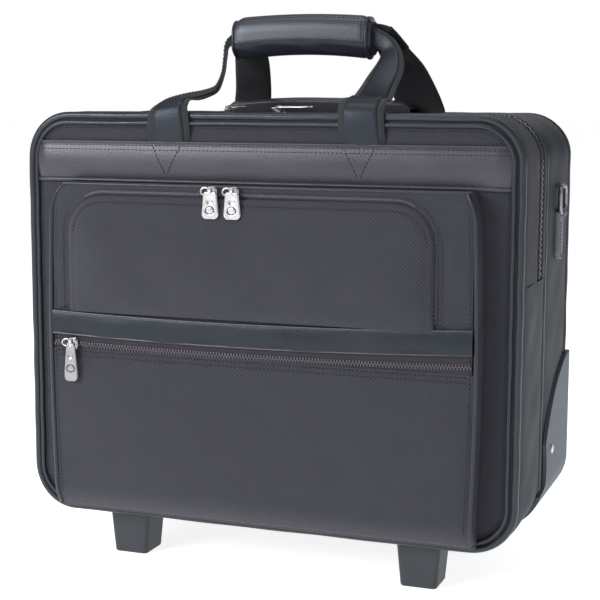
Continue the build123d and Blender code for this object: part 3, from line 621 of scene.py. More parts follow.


# The woven cloths and the webbing mix their two colours partly by painted shade and sheen in the weave.
NYLON = woven("ballistic_nylon", (0.001, 0.001, 0.002), (0.042, 0.043, 0.067), 0.00085, 1.0)
# The rim's nylon is a darker copy of the cloth, without sheen: painted shade on the door's rim wall.
SHADED_RIM_NYLON = woven("rim_nylon_darkened_as_shade", (0.001, 0.001, 0.002), (0.030, 0.034, 0.046), 0.00085, 1.0, sheen=0.0)
LINING = woven("lining_cloth", (0.05, 0.05, 0.055), (0.10, 0.10, 0.11), 0.0004, 0.25)
TAPE = woven("zip_tape_cloth", (0.006, 0.005, 0.008), (0.028, 0.023, 0.035), 0.0005, 0.5, sheen=0.04)
HIDE = hide("smooth_leather", (0.026, 0.025, 0.033), (0.059, 0.057, 0.073), 0.34, gloss=(0.92, 0.90, 1.0))
# The grip's cover leather is lighter than the strap leather of the grip's body: partly painted light on the
# grip's upper front.
LIT_GRIP_HIDE = hide("grip_leather_partly_painted_light", (0.027, 0.028, 0.036), (0.062, 0.064, 0.080), 0.34, gloss=(0.80, 0.89, 1.0))
HIDE_MATT = hide("gusset_leather", (0.013, 0.017, 0.024), (0.030, 0.036, 0.047), 0.55, specular=0.17)
HIDE_DARK = hide("piping_leather", (0.013, 0.014, 0.017), (0.028, 0.030, 0.035), roughness=0.3)
STRAP_HIDE = hide("strap_leather", (0.009, 0.011, 0.015), (0.026, 0.029, 0.037), roughness=0.36, specular=0.3)
TAB_HIDE = hide("tab_leather", (0.10, 0.11, 0.125), (0.145, 0.157, 0.176), roughness=0.5, specular=0.3)
WEBBING = ribbed("strap_webbing", (0.008, 0.009, 0.011), (0.036, 0.038, 0.044), 0.0011)
THREAD = woven("thread", (0.004, 0.004, 0.005), (0.018, 0.018, 0.022), 0.0003, 0.3)
SEAM_THREAD = woven("seam_thread", (0.03, 0.031, 0.035), (0.08, 0.083, 0.092), 0.0003, 0.3)
COIL = moulded("zip_coil", (0.044, 0.037, 0.050), (0.076, 0.066, 0.086), 0.4, grain=0.05)
COIL_DARK = moulded("large_zip_coil", (0.030, 0.032, 0.038), (0.060, 0.063, 0.074), 0.32, grain=0.05)
CAST = moulded("satin_cast_metal", (0.50, 0.49, 0.50), (0.66, 0.65, 0.67), 0.3, grain=0.03, metallic=1.0)
# A darker copy of the satin cast metal for the lower pull: painted shade, standing in for the dimmer
# reflection it shows.
DIMMED_CAST = moulded("cast_metal_dimmed_as_shade", (0.24, 0.23, 0.24), (0.42, 0.40, 0.41), 0.34, grain=0.03, metallic=1.0)
# The engraved ring on the pulls is painted dark: painted shade in its groove.
MARK_SHADE = moulded("engraved_mark_painted_shade", (0.02, 0.02, 0.022), (0.05, 0.05, 0.053), 0.6, grain=0.03)
RING_STEEL = moulded("ring_metal", (0.20, 0.21, 0.22), (0.34, 0.35, 0.37), 0.34, grain=0.05, metallic=1.0)
STEEL = moulded("plated_steel", (0.5, 0.5, 0.52), (0.68, 0.68, 0.7), 0.3, grain=0.05, metallic=1.0)
TUBE = moulded("anodised_tube", (0.42, 0.43, 0.45), (0.55, 0.56, 0.58), 0.34, grain=0.05, metallic=1.0)
MOULDING = moulded("black_moulding", (0.032, 0.036, 0.043), (0.050, 0.056, 0.066), 0.5, 0.25, specular=0.3)
GUARD = moulded("guard_moulding", (0.066, 0.085, 0.104), (0.10, 0.125, 0.152), 0.5, grain=0.25, specular=0.2)
BOARD = moulded("board_sheet", (0.03, 0.03, 0.032), (0.05, 0.05, 0.052), 0.6)
RUBBER = moulded("tyre_rubber", (0.018, 0.018, 0.02), (0.035, 0.035, 0.037), 0.75, grain=0.4, scale=400.0)

for cad_name, finish in {
    "outer_tubes": TUBE, "middle_tubes": TUBE, "inner_tubes": TUBE, "axles": STEEL,
    "tube_bracket": MOULDING, "trolley_bezel": MOULDING, "trolley_grip": MOULDING,
    "release_button": GUARD, "frame_board": BOARD, "lining_panel": LINING,
    "wheel_housing_left": MOULDING, "wheel_housing_right": MOULDING,
    "hub_left": GUARD, "hub_right": GUARD, "tyre_left": RUBBER, "tyre_right": RUBBER,
    "guard_rivets": STEEL, "strap_ring_left": RING_STEEL, "strap_ring_right": RING_STEEL,
    "corner_guard_left": GUARD, "corner_guard_right": GUARD, "foot_left": MOULDING, "foot_right": MOULDING,
}.items():
    cad_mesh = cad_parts[cad_name].data
    cad_mesh.materials.clear()
    cad_mesh.materials.append(finish)

# ======== Shell of the case ========


def cut(piece, *boxes):
    """Takes boxes, given in millimetres by two corners, out of a piece."""
    for low, high in boxes:
        mesh = bpy.data.meshes.new("cutter")
        shape = bmesh.new()
        bmesh.ops.create_cube(shape, size=1.0)
        shape.to_mesh(mesh)
        shape.free()
        cutter = bpy.data.objects.new("cutter", mesh)
        bpy.context.scene.collection.objects.link(cutter)
        cutter.location = [(a + b) / 2 / MM for a, b in zip(low, high)]
        cutter.scale = [(b - a) / MM for a, b in zip(low, high)]
        change = piece.modifiers.new("cut", "BOOLEAN")
        change.operation, change.solver, change.object = "DIFFERENCE", "EXACT", cutter
        bpy.context.view_layer.update()
        done = bpy.data.meshes.new_from_object(piece.evaluated_get(bpy.context.evaluated_depsgraph_get()))
        piece.modifiers.clear()
        piece.data = done
        bpy.data.objects.remove(cutter)
    return piece


bezel_low, bezel_high = span("trolley_bezel")
bezel_hole = ((bezel_low[0] + 6, bezel_low[1] + 2, 360), (bezel_high[0] - 6, bezel_high[1] - 2, 420))
housing_holes = []
for side_name in SIDES:
    low, high = span(f"wheel_housing_{side_name}")
    housing_holes.append(((low[0], low[1], 0), (high[0], high[1] + 20, high[2])))

rear_wall = wall(
    "rear_wall", MID_Y + PIPING / 2 - 0.5, REAR_Y - PIPING + 0.5, HIDE_MATT, LINING, uneven=0.9, seed=2.0,
)
cut(rear_wall, bezel_hole, *housing_holes)
place(rear_wall, "case", "vinyl", "rear_gusset")

BACK_R = CORNER_R - PIPING
back_shape = (0, HALF_W - PIPING + 1, BASE_Z + PIPING - 1, TOP_Z - PIPING + 1, BACK_R, BACK_R)


def back_depth(inside):
    """How far back the back cloth stands at a distance inside its edge."""
    return REAR_Y - 1.5 + 1.5 * (1 - math.exp(-inside / 25))


back_cloth = panel(
    "back_cloth", back_shape, lambda x, z, d: REAR_Y - 5.0, lambda x, z, d: back_depth(d), LINING, NYLON,
)
cut(back_cloth, *housing_holes)
place(back_cloth, "case", "nylon", "back_panel")


# Sewn detail of the back: an edge row, a double seam beside each tube and a leather strip along the foot.
def back_surface(x, z):
    """How far back the back cloth stands at a place in the rear view."""
    return back_depth(max(edge_distance(x, z, *back_shape), 0))


def back_stitches(name, points, slot="nylon"):
    """A row of stitches on the back, through points of the rear view."""
    lift = 1.3 if slot == "vinyl" else 0.0
    line = np.array([(x, back_surface(x, z) + lift, z) for x, z in dense(points, 3.0)])
    out = same(BACKWARD, line)
    sewn(name, line, np.cross(heading(line), out), out, "case", slot, SEAM_THREAD, pitch=3.8)


edge_row, _ = outline(PIPING + 6.6, REAR_Y, low_z=BASE_Z + 74, step=3.0)
back_stitches("back_edge_stitch", edge_row[:, [0, 2]])
KICK_HALF, KICK_LOW_Z, KICK_HIGH_Z = 112.0, BASE_Z + 11.0, BASE_Z + 60.0


def tube_seam(grow):
    """The seam round the tubes' sleeve in the rear view, from one foot to the other."""
    half, high, r = 98.0 + grow, TOP_Z - 20.0 + grow, 16.0 + grow
    turn = np.linspace(0, math.pi / 2, 10)
    right = np.stack([half - r + r * np.cos(turn), high - r + r * np.sin(turn)], axis=1)
    left = right[::-1] * np.array([-1.0, 1.0])
    return np.vstack([[(half, KICK_HIGH_Z - 2.0)], right, left, [(-half, KICK_HIGH_Z - 2.0)]])


for row, grow in enumerate((-3.2, 3.2)):
    back_stitches(f"back_seam_{row + 1}", tube_seam(grow))
welt_path = np.array([(x, back_surface(x, z) + 0.3, z) for x, z in dense(tube_seam(0.0), 4.0)])
welt_out = same(BACKWARD, welt_path)
welt_across = np.cross(heading(welt_path), welt_out)
tube("back_welt", welt_path, welt_across, welt_out, circle(1.6, 12), HIDE, "case", "vinyl")
kick_shape = (0, KICK_HALF, KICK_LOW_Z, KICK_HIGH_Z, 6.0, 6.0)
kick_strip = panel(
    "back_foot_strip", kick_shape, lambda x, z, d: back_surface(x, z) - 1.0,
    lambda x, z, d: back_surface(x, z) + 1.5 * (1 - math.exp(-max(d, 0) / 1.0)), HIDE_MATT, HIDE, 60, 24,
)
place(kick_strip, "case", "vinyl")
KICK_INSET = 3.4
kick_ring = [(-1, 0), (1, 0), (1, 1), (-1, 1), (-1, 0)]
kick_run = np.array([
    (a * (KICK_HALF - KICK_INSET), KICK_HIGH_Z - KICK_INSET if b else KICK_LOW_Z + KICK_INSET)
    for a, b in kick_ring
])
back_stitches("back_foot_stitch", kick_run, "vinyl")

middle_bead = bead("middle_bead", PIPING / 2 - 0.2, MID_Y, PIPING / 2, seed=1.0)
place(middle_bead, "case", "vinyl", "middle_piping")
rear_bead = bead("rear_bead", PIPING / 2 - 0.2, REAR_Y - PIPING / 2, PIPING / 2, seed=3.0)
cut(rear_bead, *housing_holes)
place(rear_bead, "case", "vinyl", "rear_piping")

upper_wall = wall(
    "upper_wall", GUSSET_FRONT_Y + 0.8, MID_Y - PIPING / 2 + 0.5, HIDE_MATT, LINING, low_z=ZIP_END_Z,
    crown=0.8, uneven=0.2,
)
place(upper_wall, "case", "nylon", "upper_gusset")

fan = wall(
    "expanding_gusset", FRONT_Y + PIPING - 0.3, MID_Y - PIPING / 2 + 0.5, HIDE_MATT, LINING,
    high_z=ZIP_END_Z + 0.2, crown=1.8, uneven=1.1, seed=5.0,
)
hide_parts("side_gusset_left", "side_gusset_right", "base_gusset")
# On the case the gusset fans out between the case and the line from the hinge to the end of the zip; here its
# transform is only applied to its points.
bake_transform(fan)

# The rim wall takes the darker copy of the nylon: painted shade on the door's rim.
rim = wall(
    "door_rim_wall", FRONT_Y + PIPING - 0.5, RIM_REAR_Y - 0.8, SHADED_RIM_NYLON, LINING, low_z=ZIP_END_Z + 0.4,
    crown=1.4, uneven=0.5, seed=7.0,
)
place(rim, "front_door", "nylon", "door_rim")

# ---- Main zip round the top and the upper sides ----
for half_name, body, y0, y1 in (
    ("front", "front_door", RIM_REAR_Y - 1.5, ZIP_Y - 0.2),
    ("rear", "case", ZIP_Y + 0.2, GUSSET_FRONT_Y + 1.5),
):
    path, out = outline(SKIN + 1.6, (y0 + y1) / 2, low_z=ZIP_END_Z + 0.5, step=5.0)
    tube(
        f"main_tape_{half_name}", path, same(BACKWARD, path), out, flat_profile((y1 - y0) / 2, 1.0, 0.3),
        TAPE, body, "zip_tape", f"zip_tape_{half_name}",
    )
    hem_y = y1 + 1.6 if half_name == "rear" else y0 - 1.2
    path, out = outline(SKIN - 0.6, hem_y, low_z=ZIP_END_Z + 1, step=3.0)
    sewn(f"main_zip_stitch_{half_name}", path, same(BACKWARD, path), out, body, "zip_tape")

path, out = outline(SKIN + 0.5, ZIP_Y, low_z=ZIP_END_Z + 1, step=2.0)
place(
    zip_teeth("main_teeth", path, same(BACKWARD, path), out, COIL_DARK, pitch=2.4, reach=3.8, tall=1.5),
    "case", "zip_tape",
)

# ======== Front door ========

PANEL_R = CORNER_R - PIPING + 1
panel_shape = (0, HALF_W - PIPING + 1, BASE_Z + PIPING - 1, TOP_Z - PIPING + 1, PANEL_R, PANEL_R)
front_cloth = panel(
    "front_cloth", panel_shape,
    lambda x, z, d: PANEL_FACE_Y + 0.6 - 1.3 * (1 - math.exp(-max(d - 4, 0) / 9)),
    lambda x, z, d: PANEL_FACE_Y + 4.0,
    NYLON, LINING, columns=50, rows=50,
)
place(front_cloth, "front_door", "nylon", "front_panel")

front_bead = bead("front_bead", PIPING / 2 - 0.3, FRONT_Y + PIPING / 2 + 0.2, PIPING / 2 + 0.2, seed=4.0)
place(front_bead, "front_door", "vinyl", "front_piping")
inner_roll = bead("inner_roll", PIPING + 2.6, FRONT_Y + 0.4, 1.9, seed=6.0, wander=0.25)
place(inner_roll, "front_door", "vinyl", "inner_bead")

path, out = outline(PIPING + 6.6, PANEL_FACE_Y - 0.5, step=3.0)
sewn("panel_stitch", path, out, same(FORWARD, path), "front_door", "nylon", pitch=3.8)

CLIMB = 0.8


def across_front(x0, x1, z, y, step=4.0, sag=0.0):
    """A path across the front; with a sag it hangs in its middle and climbs a little to the right."""
    xs = np.linspace(x0, x1, max(3, int((x1 - x0) / step)))
    t = (xs - x0) / (x1 - x0)
    zs = z - sag * (4 * t * (1 - t) - CLIMB * t)
    ys = np.array([y(x, z) for x in xs]) if callable(y) else np.full(len(xs), float(y))
    path = np.stack([xs, ys, zs], axis=1)
    return path, same(UPWARD, path), same(FORWARD, path)


def front_roll(name, x0, x1, z, y, radius, steps, material, slot="vinyl", sag=0.0):
    """A thin rolled edge across the front."""
    path, across, out = across_front(x0, x1, z, y, sag=sag)
    tube(name, path, across, out, circle(radius, steps), material, "front_door", slot)


def front_stitches(name, x0, x1, z, y, slot="vinyl", sag=0.0, rise=0.3):
    """A row of stitches across the front."""
    path, across, out = across_front(x0, x1, z, y, sag=sag)
    sewn(name, path, across, out, "front_door", slot, rise=rise)


def front_strip(name, x0, x1, low_z, high_z, y, thickness, material, *nodes, sag=0.0, crown=0.6,
                slot="vinyl", dent=0.0):
    """A soft strip sewn flat across the front."""
    path, across, out = across_front(x0, x1, (low_z + high_z) / 2, y, sag=sag)
    half = (high_z - low_z) / 2
    profile = flat_profile(half, thickness, 0.7, steps=10)
    rounded = profile.copy()
    top = rounded[:, 1] > thickness * 0.9
    rounded[top, 1] += crown * (1 - (rounded[top, 0] / half) ** 2)
    verts, faces, uvs = sweep(path, across, out, rounded)
    if dent:
        on_face = verts[:, 1:2] < verts[:, 1].max() - thickness / 2
        verts = verts + np.array(BACKWARD) * ripple(verts, dent, 60, 3.0)[:, None] * on_face
    place(make_piece(name, verts, faces, [material], uvs), "front_door", slot, *nodes)


BAND_HALF = HALF_W - PIPING - 3.2
BAND_Y = PANEL_FACE_Y - 0.6
BAND_CROWN = 2.4


def band_crown(z):
    """How far the band's face stands out at a height."""
    return BAND_CROWN * (1 - ((2 * z - BAND_LOW_Z - BAND_HIGH_Z - 1) / (BAND_HIGH_Z - BAND_LOW_Z - 1)) ** 2)


def band_y(x, depth=0.0):
    """The band's plane, which tucks in behind the beads at both ends."""
    return BAND_Y + 3.4 * max(0.0, (abs(x) - BAND_HALF + 10.0) / 10.0) ** 2 - depth


front_strip(
    "band", -BAND_HALF, BAND_HALF, BAND_LOW_Z + 1, BAND_HIGH_Z, lambda x, z: band_y(x), 1.6, HIDE,
    "top_band", crown=BAND_CROWN,
)
for k, z in enumerate((BAND_HIGH_Z - 3.0, BAND_HIGH_Z - 6.6)):
    front_stitches(
        f"band_stitch_{k + 1}", -BAND_HALF + 2, BAND_HALF - 2, z,
        lambda x, z: band_y(x, 1.85 + band_crown(z)), rise=0.15,
    )
front_roll(
    "band_top_fold", -BAND_HALF, BAND_HALF, BAND_HIGH_Z - 0.3, lambda x, z: band_y(x, 1.2), 0.9, 10, HIDE,
)
front_roll("band_hem", -BAND_HALF, BAND_HALF, BAND_LOW_Z + 1.6, lambda x, z: band_y(x, 2.0), 1.7, 12, HIDE)

# Pointed rows of stitches hold the strap ends under the band.
for name, side in SIDES.items():
    cx = side * 83.5
    tip = np.array((cx, BAND_Y, BAND_LOW_Z + 6.0))
    for k, way in enumerate((-1, 1)):
        line = np.linspace((cx + way * 13.0, BAND_Y, BAND_HIGH_Z - 2.0), tip, 12)
        line[:, 1] -= [1.8 + band_crown(z) for z in line[:, 2]]
        run = (line[-1] - line[0]) / np.linalg.norm(line[-1] - line[0])
        across = same(np.cross(run, FORWARD), line)
        sewn(
            f"point_stitch_{name}_{k + 1}", line, across, same(FORWARD, line), "front_door", "vinyl",
            rise=0.2,
        )

# ======== Front pocket ========

POCKET_HALF = pocket_high[0]
POCKET_LOW_Z, POCKET_HIGH_Z = pocket_low[2], pocket_high[2]
FACE_HALF = POCKET_HALF - 5.0
LOWER_PAD_HIGH_Z = LOWER_ZIP_Z - 4.2
UPPER_LOW_Z = STRIP_HIGH_Z - 3.0


def face_depth(x, z):
    """How far forward the pocket's face stands: full in the middle, drawn in at top and bottom."""
    fall = 0.0
    if z < POCKET_LOW_Z + 16:
        fall = ((POCKET_LOW_Z + 16 - z) / 16) ** 2 * 5.0
    elif z > POCKET_HIGH_Z - 7:
        fall = ((z - POCKET_HIGH_Z + 7) / 7) ** 2 * 3.5
    return POCKET_FACE_Y + 0.2 + fall


def side_bow(z):
    """How far the pocket's sides stand out beyond their top and bottom."""
    t = (z - POCKET_LOW_Z) / (POCKET_HIGH_Z - POCKET_LOW_Z)
    return 3.2 * math.sin(math.pi * min(max(t, 0), 1)) - 1.0


def side_x(side, z):
    """The pocket's edge at a height, rounded in at its top corner."""
    corner = (12.0 if side < 0 else 7.0) * (max(z - POCKET_HIGH_Z + 24, 0) / 24) ** 2.2
    return side * (POCKET_HALF - 2.4 + side_bow(z) - corner)


# Side walls in leather, with a bead along their front edges.
side_zs = np.linspace(POCKET_LOW_Z - 3, POCKET_HIGH_Z - 1, 60)
for name, side in SIDES.items():
    loops = []
    for z in side_zs:
        x = side_x(side, z)
        front_y = face_depth(x, z)
        depth = PANEL_FACE_Y - front_y
        row = []
        for t in np.linspace(0, 1, 7):
            row.append((x + side * (1.5 * math.sin(math.pi * t) + 1.2 * t), front_y + 0.8 + depth * t, z))
        for t in np.linspace(1, 0, 7):
            row.append((x - side * 1.8, front_y + 1.2 + depth * t, z))
        loops.append(row)
    verts, faces = lofted(loops)
    place(make_piece(f"pocket_side_{name}", verts, faces, [HIDE]), "front_door", "vinyl")

TOP_BEAD_Z = POCKET_HIGH_Z - 1.0
TOP_X0, TOP_X1 = -POCKET_HALF + 13, POCKET_HALF - 8
for name, side in SIDES.items():
    edge = [(side_x(side, z), z) for z in side_zs]
    path = np.array([(x - side * 0.4, face_depth(x, z) + 0.4, z) for x, z in edge])
    across = same((side * 0.94, 0.35, 0.0), path)
    tube(
        f"pocket_bead_{name}", path, across, same((side * 0.35, -0.94, 0.0), path), circle(1.9, 12),
        HIDE_DARK, "front_door", "vinyl", *(["pocket_piping"] if side < 0 else []),
    )
    seam = (path + np.array([-side * 4.6, -0.25, 0.0]))[2:-3]
    sewn(f"pocket_side_stitch_{name}", seam, across[2:-3], same(FORWARD, seam), "front_door", "vinyl")
front_roll(
    "pocket_bead_top", TOP_X0, TOP_X1, TOP_BEAD_Z, lambda x, z: face_depth(x, z) + 0.6, 1.5, 12, HIDE_DARK,
)

# Top wall of the pocket, from its top bead back to the panel.
loops = []
for x in np.linspace(TOP_X0, TOP_X1, 40):
    y0 = face_depth(x, TOP_BEAD_Z)
    reach = PANEL_FACE_Y + 0.3 - y0
    row = [
        (x, y0 + reach * t, TOP_BEAD_Z + 0.4 + 0.7 * math.sin(math.pi * t)) for t in np.linspace(0, 1, 6)
    ]
    row += [(x, y0 + reach * t, TOP_BEAD_Z - 1.6) for t in np.linspace(1, 0, 6)]
    loops.append(row)
verts, faces = lofted(loops)
place(make_piece("pocket_top", verts, faces, [NYLON]), "front_door", "nylon", "front_pocket")


def face_sheet(name, x_half, low_z, high_z, y, thickness, material, columns, rows):
    """A cloth face between the pocket's sides, following their bow."""
    verts, uv = [], []
    for layer in (0, 1):
        for z in np.linspace(low_z, high_z, rows):
            reach = x_half + side_bow(z)
            for t in np.linspace(-1, 1, columns):
                x = reach * t
                verts.append((x, y(x, z) + layer * thickness, z))
                uv.append((x, z))
    faces = two_sheets(rows, columns)
    uvs = [uv[v] for f in faces for v in f]
    return make_piece(name, verts, faces, [material], uvs, sharp=60)


def lower_face(x, z):
    """The lower pocket: crowned, with a slack fold under the zip and a drawn-in foot."""
    t = (z - POCKET_LOW_Z) / (LOWER_PAD_HIGH_Z - POCKET_LOW_Z)
    bulge = math.sin(math.pi * min(max(t * 0.96 + 0.02, 0), 1)) ** 0.8
    crown = 3.6 * bulge * (1 - (x / FACE_HALF) ** 4 * 0.8)
    slack = 0.5 * math.sin(x * 0.021 + z * 0.031) + 0.35 * math.sin(z * 0.07 - x * 0.013 + 1.0)
    edge = 1 - math.exp(-(FACE_HALF - abs(x) + 1) / 6)
    return face_depth(x, z) - (crown + slack * 0.8) * edge + 0.2


POCKET_FOOT_Z = POCKET_LOW_Z - 4
lower_pad = face_sheet(
    "lower_pocket_face", FACE_HALF + 0.8, POCKET_FOOT_Z, LOWER_PAD_HIGH_Z, lower_face, 3.0, NYLON, 76, 60,
)
place(lower_pad, "front_door", "nylon")

# Foot of the pocket: the cloth turns under and meets the panel.
loops = []
for x in np.linspace(-FACE_HALF - 3, FACE_HALF + 3, 50):
    y0 = lower_face(x, POCKET_FOOT_Z) + 0.4
    arc = [
        (x, y0 + (PANEL_FACE_Y - y0) * (1 - math.cos(a)), POCKET_FOOT_Z - 3.4 * math.sin(a))
        for a in np.linspace(0, math.pi / 2, 6)
    ]
    loops.append(arc + [(x, p[1] + 1.2, p[2] + 2.6) for p in arc[::-1]])
verts, faces = lofted(loops)
place(make_piece("pocket_foot", verts, faces, [NYLON]), "front_door", "nylon")

# Lower zip: tape, teeth, and the stitched hem of the cloth below it.
SAG = 3.0
STRIP_SAG = 4.2
ZIP_SPAN = FACE_HALF + 1.5
zip_y = POCKET_FACE_Y + 1.4
front_strip(
    "lower_zip_cloth", -ZIP_SPAN, ZIP_SPAN, LOWER_ZIP_Z - 8.0, LOWER_ZIP_Z + 9.5, zip_y, 0.9, TAPE,
    "lower_zip_tape", sag=SAG, crown=0.0, slot="zip_tape",
)
path, across, out = across_front(-ZIP_SPAN, ZIP_SPAN, LOWER_ZIP_Z, zip_y - 0.9, step=1.5, sag=SAG)
place(zip_teeth("lower_teeth", path, across, out, COIL, pitch=1.3), "front_door", "zip_tape")
for k, z in enumerate((LOWER_PAD_HIGH_Z - 2.2, LOWER_PAD_HIGH_Z - 6.4)):
    front_stitches(
        f"lower_hem_stitch_{k + 1}", -FACE_HALF, FACE_HALF, z, lambda x, z: lower_face(x, z) - 0.1, "nylon",
    )
front_roll(
    "lower_hem_fold", -FACE_HALF, FACE_HALF, LOWER_PAD_HIGH_Z - 0.2, lambda x, z: lower_face(x, z) + 0.9,
    1.2, 10, NYLON, "nylon",
)

# Leather strip between the two pockets, with an edge stitch along each side and a rolled edge in the lighter
# band leather, a painted highlight along its top and bottom edges.
STRIP_HALF = FACE_HALF + 2
strip_y = POCKET_FACE_Y - 0.2
front_strip(
    "middle_band", -STRIP_HALF, STRIP_HALF, STRIP_LOW_Z, STRIP_HIGH_Z, strip_y, 1.5, STRAP_HIDE,
    "middle_strip", sag=STRIP_SAG, crown=1.2, dent=0.5,
)
# The rolled edges are in the lighter leather: painted highlight on the strip's edges.
for k, (z, way) in enumerate(((STRIP_HIGH_Z - 0.6, 1), (STRIP_LOW_Z + 0.6, -1))):
    front_roll(
        f"middle_band_highlit_edge_{k + 1}", -STRIP_HALF, STRIP_HALF, z, strip_y - 1.2, 0.75, 8, HIDE, sag=STRIP_SAG,
    )
    front_stitches(
        f"middle_band_stitch_{k + 1}", -FACE_HALF, FACE_HALF, z - way * 2.2, strip_y - 1.8, sag=STRIP_SAG,
        rise=0.1,
    )

# ---- Organiser: cloth round the flap, its room, its zip and the flap ----
def flap_outline(grow):
    """The flap's outline in the front view, anticlockwise from its bottom right corner."""
    half, low, high = FLAP_HALF + grow, flap_low[2] - grow, flap_high[2] + grow
    r = FLAP_R + grow
    turns = np.linspace(0, math.pi / 2, 12)
    points = [(FLAP_X + half, low)]
    points += [(FLAP_X + half - r + r * math.cos(a), high - r + r * math.sin(a)) for a in turns]
    points += [(FLAP_X - half + r - r * math.sin(a), high - r + r * math.cos(a)) for a in turns]
    points += [(FLAP_X - half, low)]
    return np.array(points)


inner = dense(flap_outline(-3.5), 3.0)
count = len(inner)
outer = []
centre_x, centre_z = FLAP_X, flap_low[2] + 20
half = FACE_HALF + 1.2
for x, z in inner:
    dx, dz = x - centre_x, z - centre_z
    scale = min(
        ((half if dx > 0 else -half) - centre_x) / dx if abs(dx) > 1e-6 else 1e9,
        (TOP_BEAD_Z - centre_z) / dz if dz > 0 else (UPPER_LOW_Z - centre_z) / dz if dz < 0 else 1e9,
    )
    outer.append((centre_x + dx * scale, centre_z + dz * scale))
outer = np.array(outer)
outer[0], outer[-1] = (FACE_HALF + 2, UPPER_LOW_Z), (-FACE_HALF - 2, UPPER_LOW_Z)
STEPS = 12
verts, uv = [], []
for layer in (0, 1):
    for k in range(count):
        for s in np.linspace(0, 1, STEPS):
            x, z = inner[k] + (outer[k] - inner[k]) * s
            x = math.copysign(min(abs(x), abs(side_x(math.copysign(1, x), z)) - 1.0), x)
            slack = 0.8 * math.sin(math.pi * s) * math.sin(x * 0.05 + z * 0.09)
            y = face_depth(x, z) + 0.1 - 0.6 * math.sin(math.pi * s) - slack * 0.4
            verts.append((x, y + layer * 2.4, z))
            uv.append((x, z))
faces = two_sheets(count, STEPS)
uvs = [uv[v] for f in faces for v in f]
surround = make_piece("organiser_surround", verts, faces, [NYLON], uvs, sharp=60)
place(surround, "front_door", "nylon")

front_strip(
    "organiser_sill", -FACE_HALF - 1, FACE_HALF + 1, STRIP_HIGH_Z - 6, flap_low[2] + 4.0,
    POCKET_FACE_Y + 2.2, 1.6, NYLON, slot="nylon", crown=0.0,
)

# The organiser's room: side walls round the opening and a back.
ring = dense(np.vstack([flap_outline(-3.5), flap_outline(-3.5)[:1]]), 6.0)[:-1]
ring_path = np.stack([ring[:, 0], np.full(len(ring), POCKET_FACE_Y + 9.5), ring[:, 1]], axis=1)
centre = np.array([FLAP_X, 0, (flap_low[2] + flap_high[2]) / 2])
tangent = np.roll(ring_path, -1, axis=0) - np.roll(ring_path, 1, axis=0)
ring_out = np.cross(tangent / np.linalg.norm(tangent, axis=1)[:, None], [0.0, 1.0, 0.0])
ring_out *= np.sign(((ring_path - centre) * ring_out).sum(axis=1))[:, None]
tube(
    "organiser_room_wall", ring_path, same(BACKWARD, ring), ring_out,
    [(-8.5, 0), (8.5, 0), (8.5, 1.4), (-8.5, 1.4)], LINING, "front_door", "nylon", closed=True,
)
room_shape = (FLAP_X, FLAP_HALF - 2.5, flap_low[2] + 2.5, flap_high[2] - 2.5, 2.0, FLAP_R - 2.5)
room_back = panel(
    "organiser_room_back", room_shape, lambda x, z, d: PANEL_FACE_Y - 2.6 - 0.8 * (1 - math.exp(-d / 12)),
    lambda x, z, d: PANEL_FACE_Y - 1.2, LINING, LINING, 40, 24,
)
place(room_back, "front_door", "nylon")

# Zip along the flap's arch: tape, teeth and the stitches beside them.
arch = dense(flap_outline(0.6) + np.array([0.0, 2.4]), 2.0)
arch_path = np.stack([arch[:, 0], [face_depth(x, z) - 0.4 for x, z in arch], arch[:, 1]], axis=1)
arch_out = same(FORWARD, arch)
arch_across = np.cross(heading(arch_path), arch_out)
arch_across *= np.sign((arch_across * (arch_path - centre)).sum(axis=1))[:, None]
tube(
    "organiser_zip_cloth", arch_path, arch_across, arch_out, flat_profile(2.2, 0.5, 0.3), NYLON,
    "front_door", "zip_tape", "flap_zip_tape",
)
crest = arch_path[:, 2] > flap_high[2] - 2.0
teeth = zip_teeth(
    "organiser_teeth", (arch_path + arch_out * 0.6)[crest], arch_across[crest], arch_out[crest], COIL,
    pitch=1.0, reach=1.4, tall=0.8,
)
place(teeth, "front_door", "zip_tape")

hem = dense(flap_outline(5.6), 3.0)
hem = hem[hem[:, 1] < flap_high[2] - 12]
for side_name, side in SIDES.items():
    half_hem = hem[(hem[:, 0] - FLAP_X) * side > 0]
    line = np.array([(x, face_depth(x, z) - 1.1, z) for x, z in half_hem])
    sewn(
        f"organiser_hem_stitch_{side_name}", line, same(RIGHTWARD, line), same(FORWARD, line),
        "front_door", "nylon", pitch=3.4,
    )

FLAP_BACK_Y = flap_high[1]
flap_shape = (FLAP_X, FLAP_HALF, flap_low[2] - 5.0, flap_high[2], 1.0, FLAP_R)
open_shape = (FLAP_X, FLAP_HALF, flap_low[2] - 60, flap_high[2], 1.0, FLAP_R)

# The crown stays low where the organiser's pulls travel.
PULL_WAY_X, PULL_WAY_HALF = -8.0, 150.0


def flap_front(x, z, d):
    """The flap's face: a quick rise round its arch, then a full crown that fades to the hinge."""
    inside = edge_distance(x, z, *open_shape)
    side_inside = min(inside, FLAP_HALF - abs(x - FLAP_X))
    rise = 3.4 * (1 - math.exp(-max(side_inside, 0) / 2.2))
    from_low = z - flap_low[2] + 5.0
    crown = 4.4 * (1 - math.exp(-max(side_inside - 3, 0) / 22)) * (1 - math.exp(-from_low / 14))
    crease = -0.9 * math.exp(-((side_inside - 5.5) / 1.6) ** 2)
    beside = 1 / (1 + ((x - PULL_WAY_X) / PULL_WAY_HALF) ** 12)
    crown *= 1 - 0.96 * beside * math.exp(-((z - flap_high[2] + 9) / 20) ** 2)
    return FLAP_BACK_Y - 1.2 - rise * (0.25 + 0.75 * (1 - math.exp(-from_low / 8))) - crown - crease


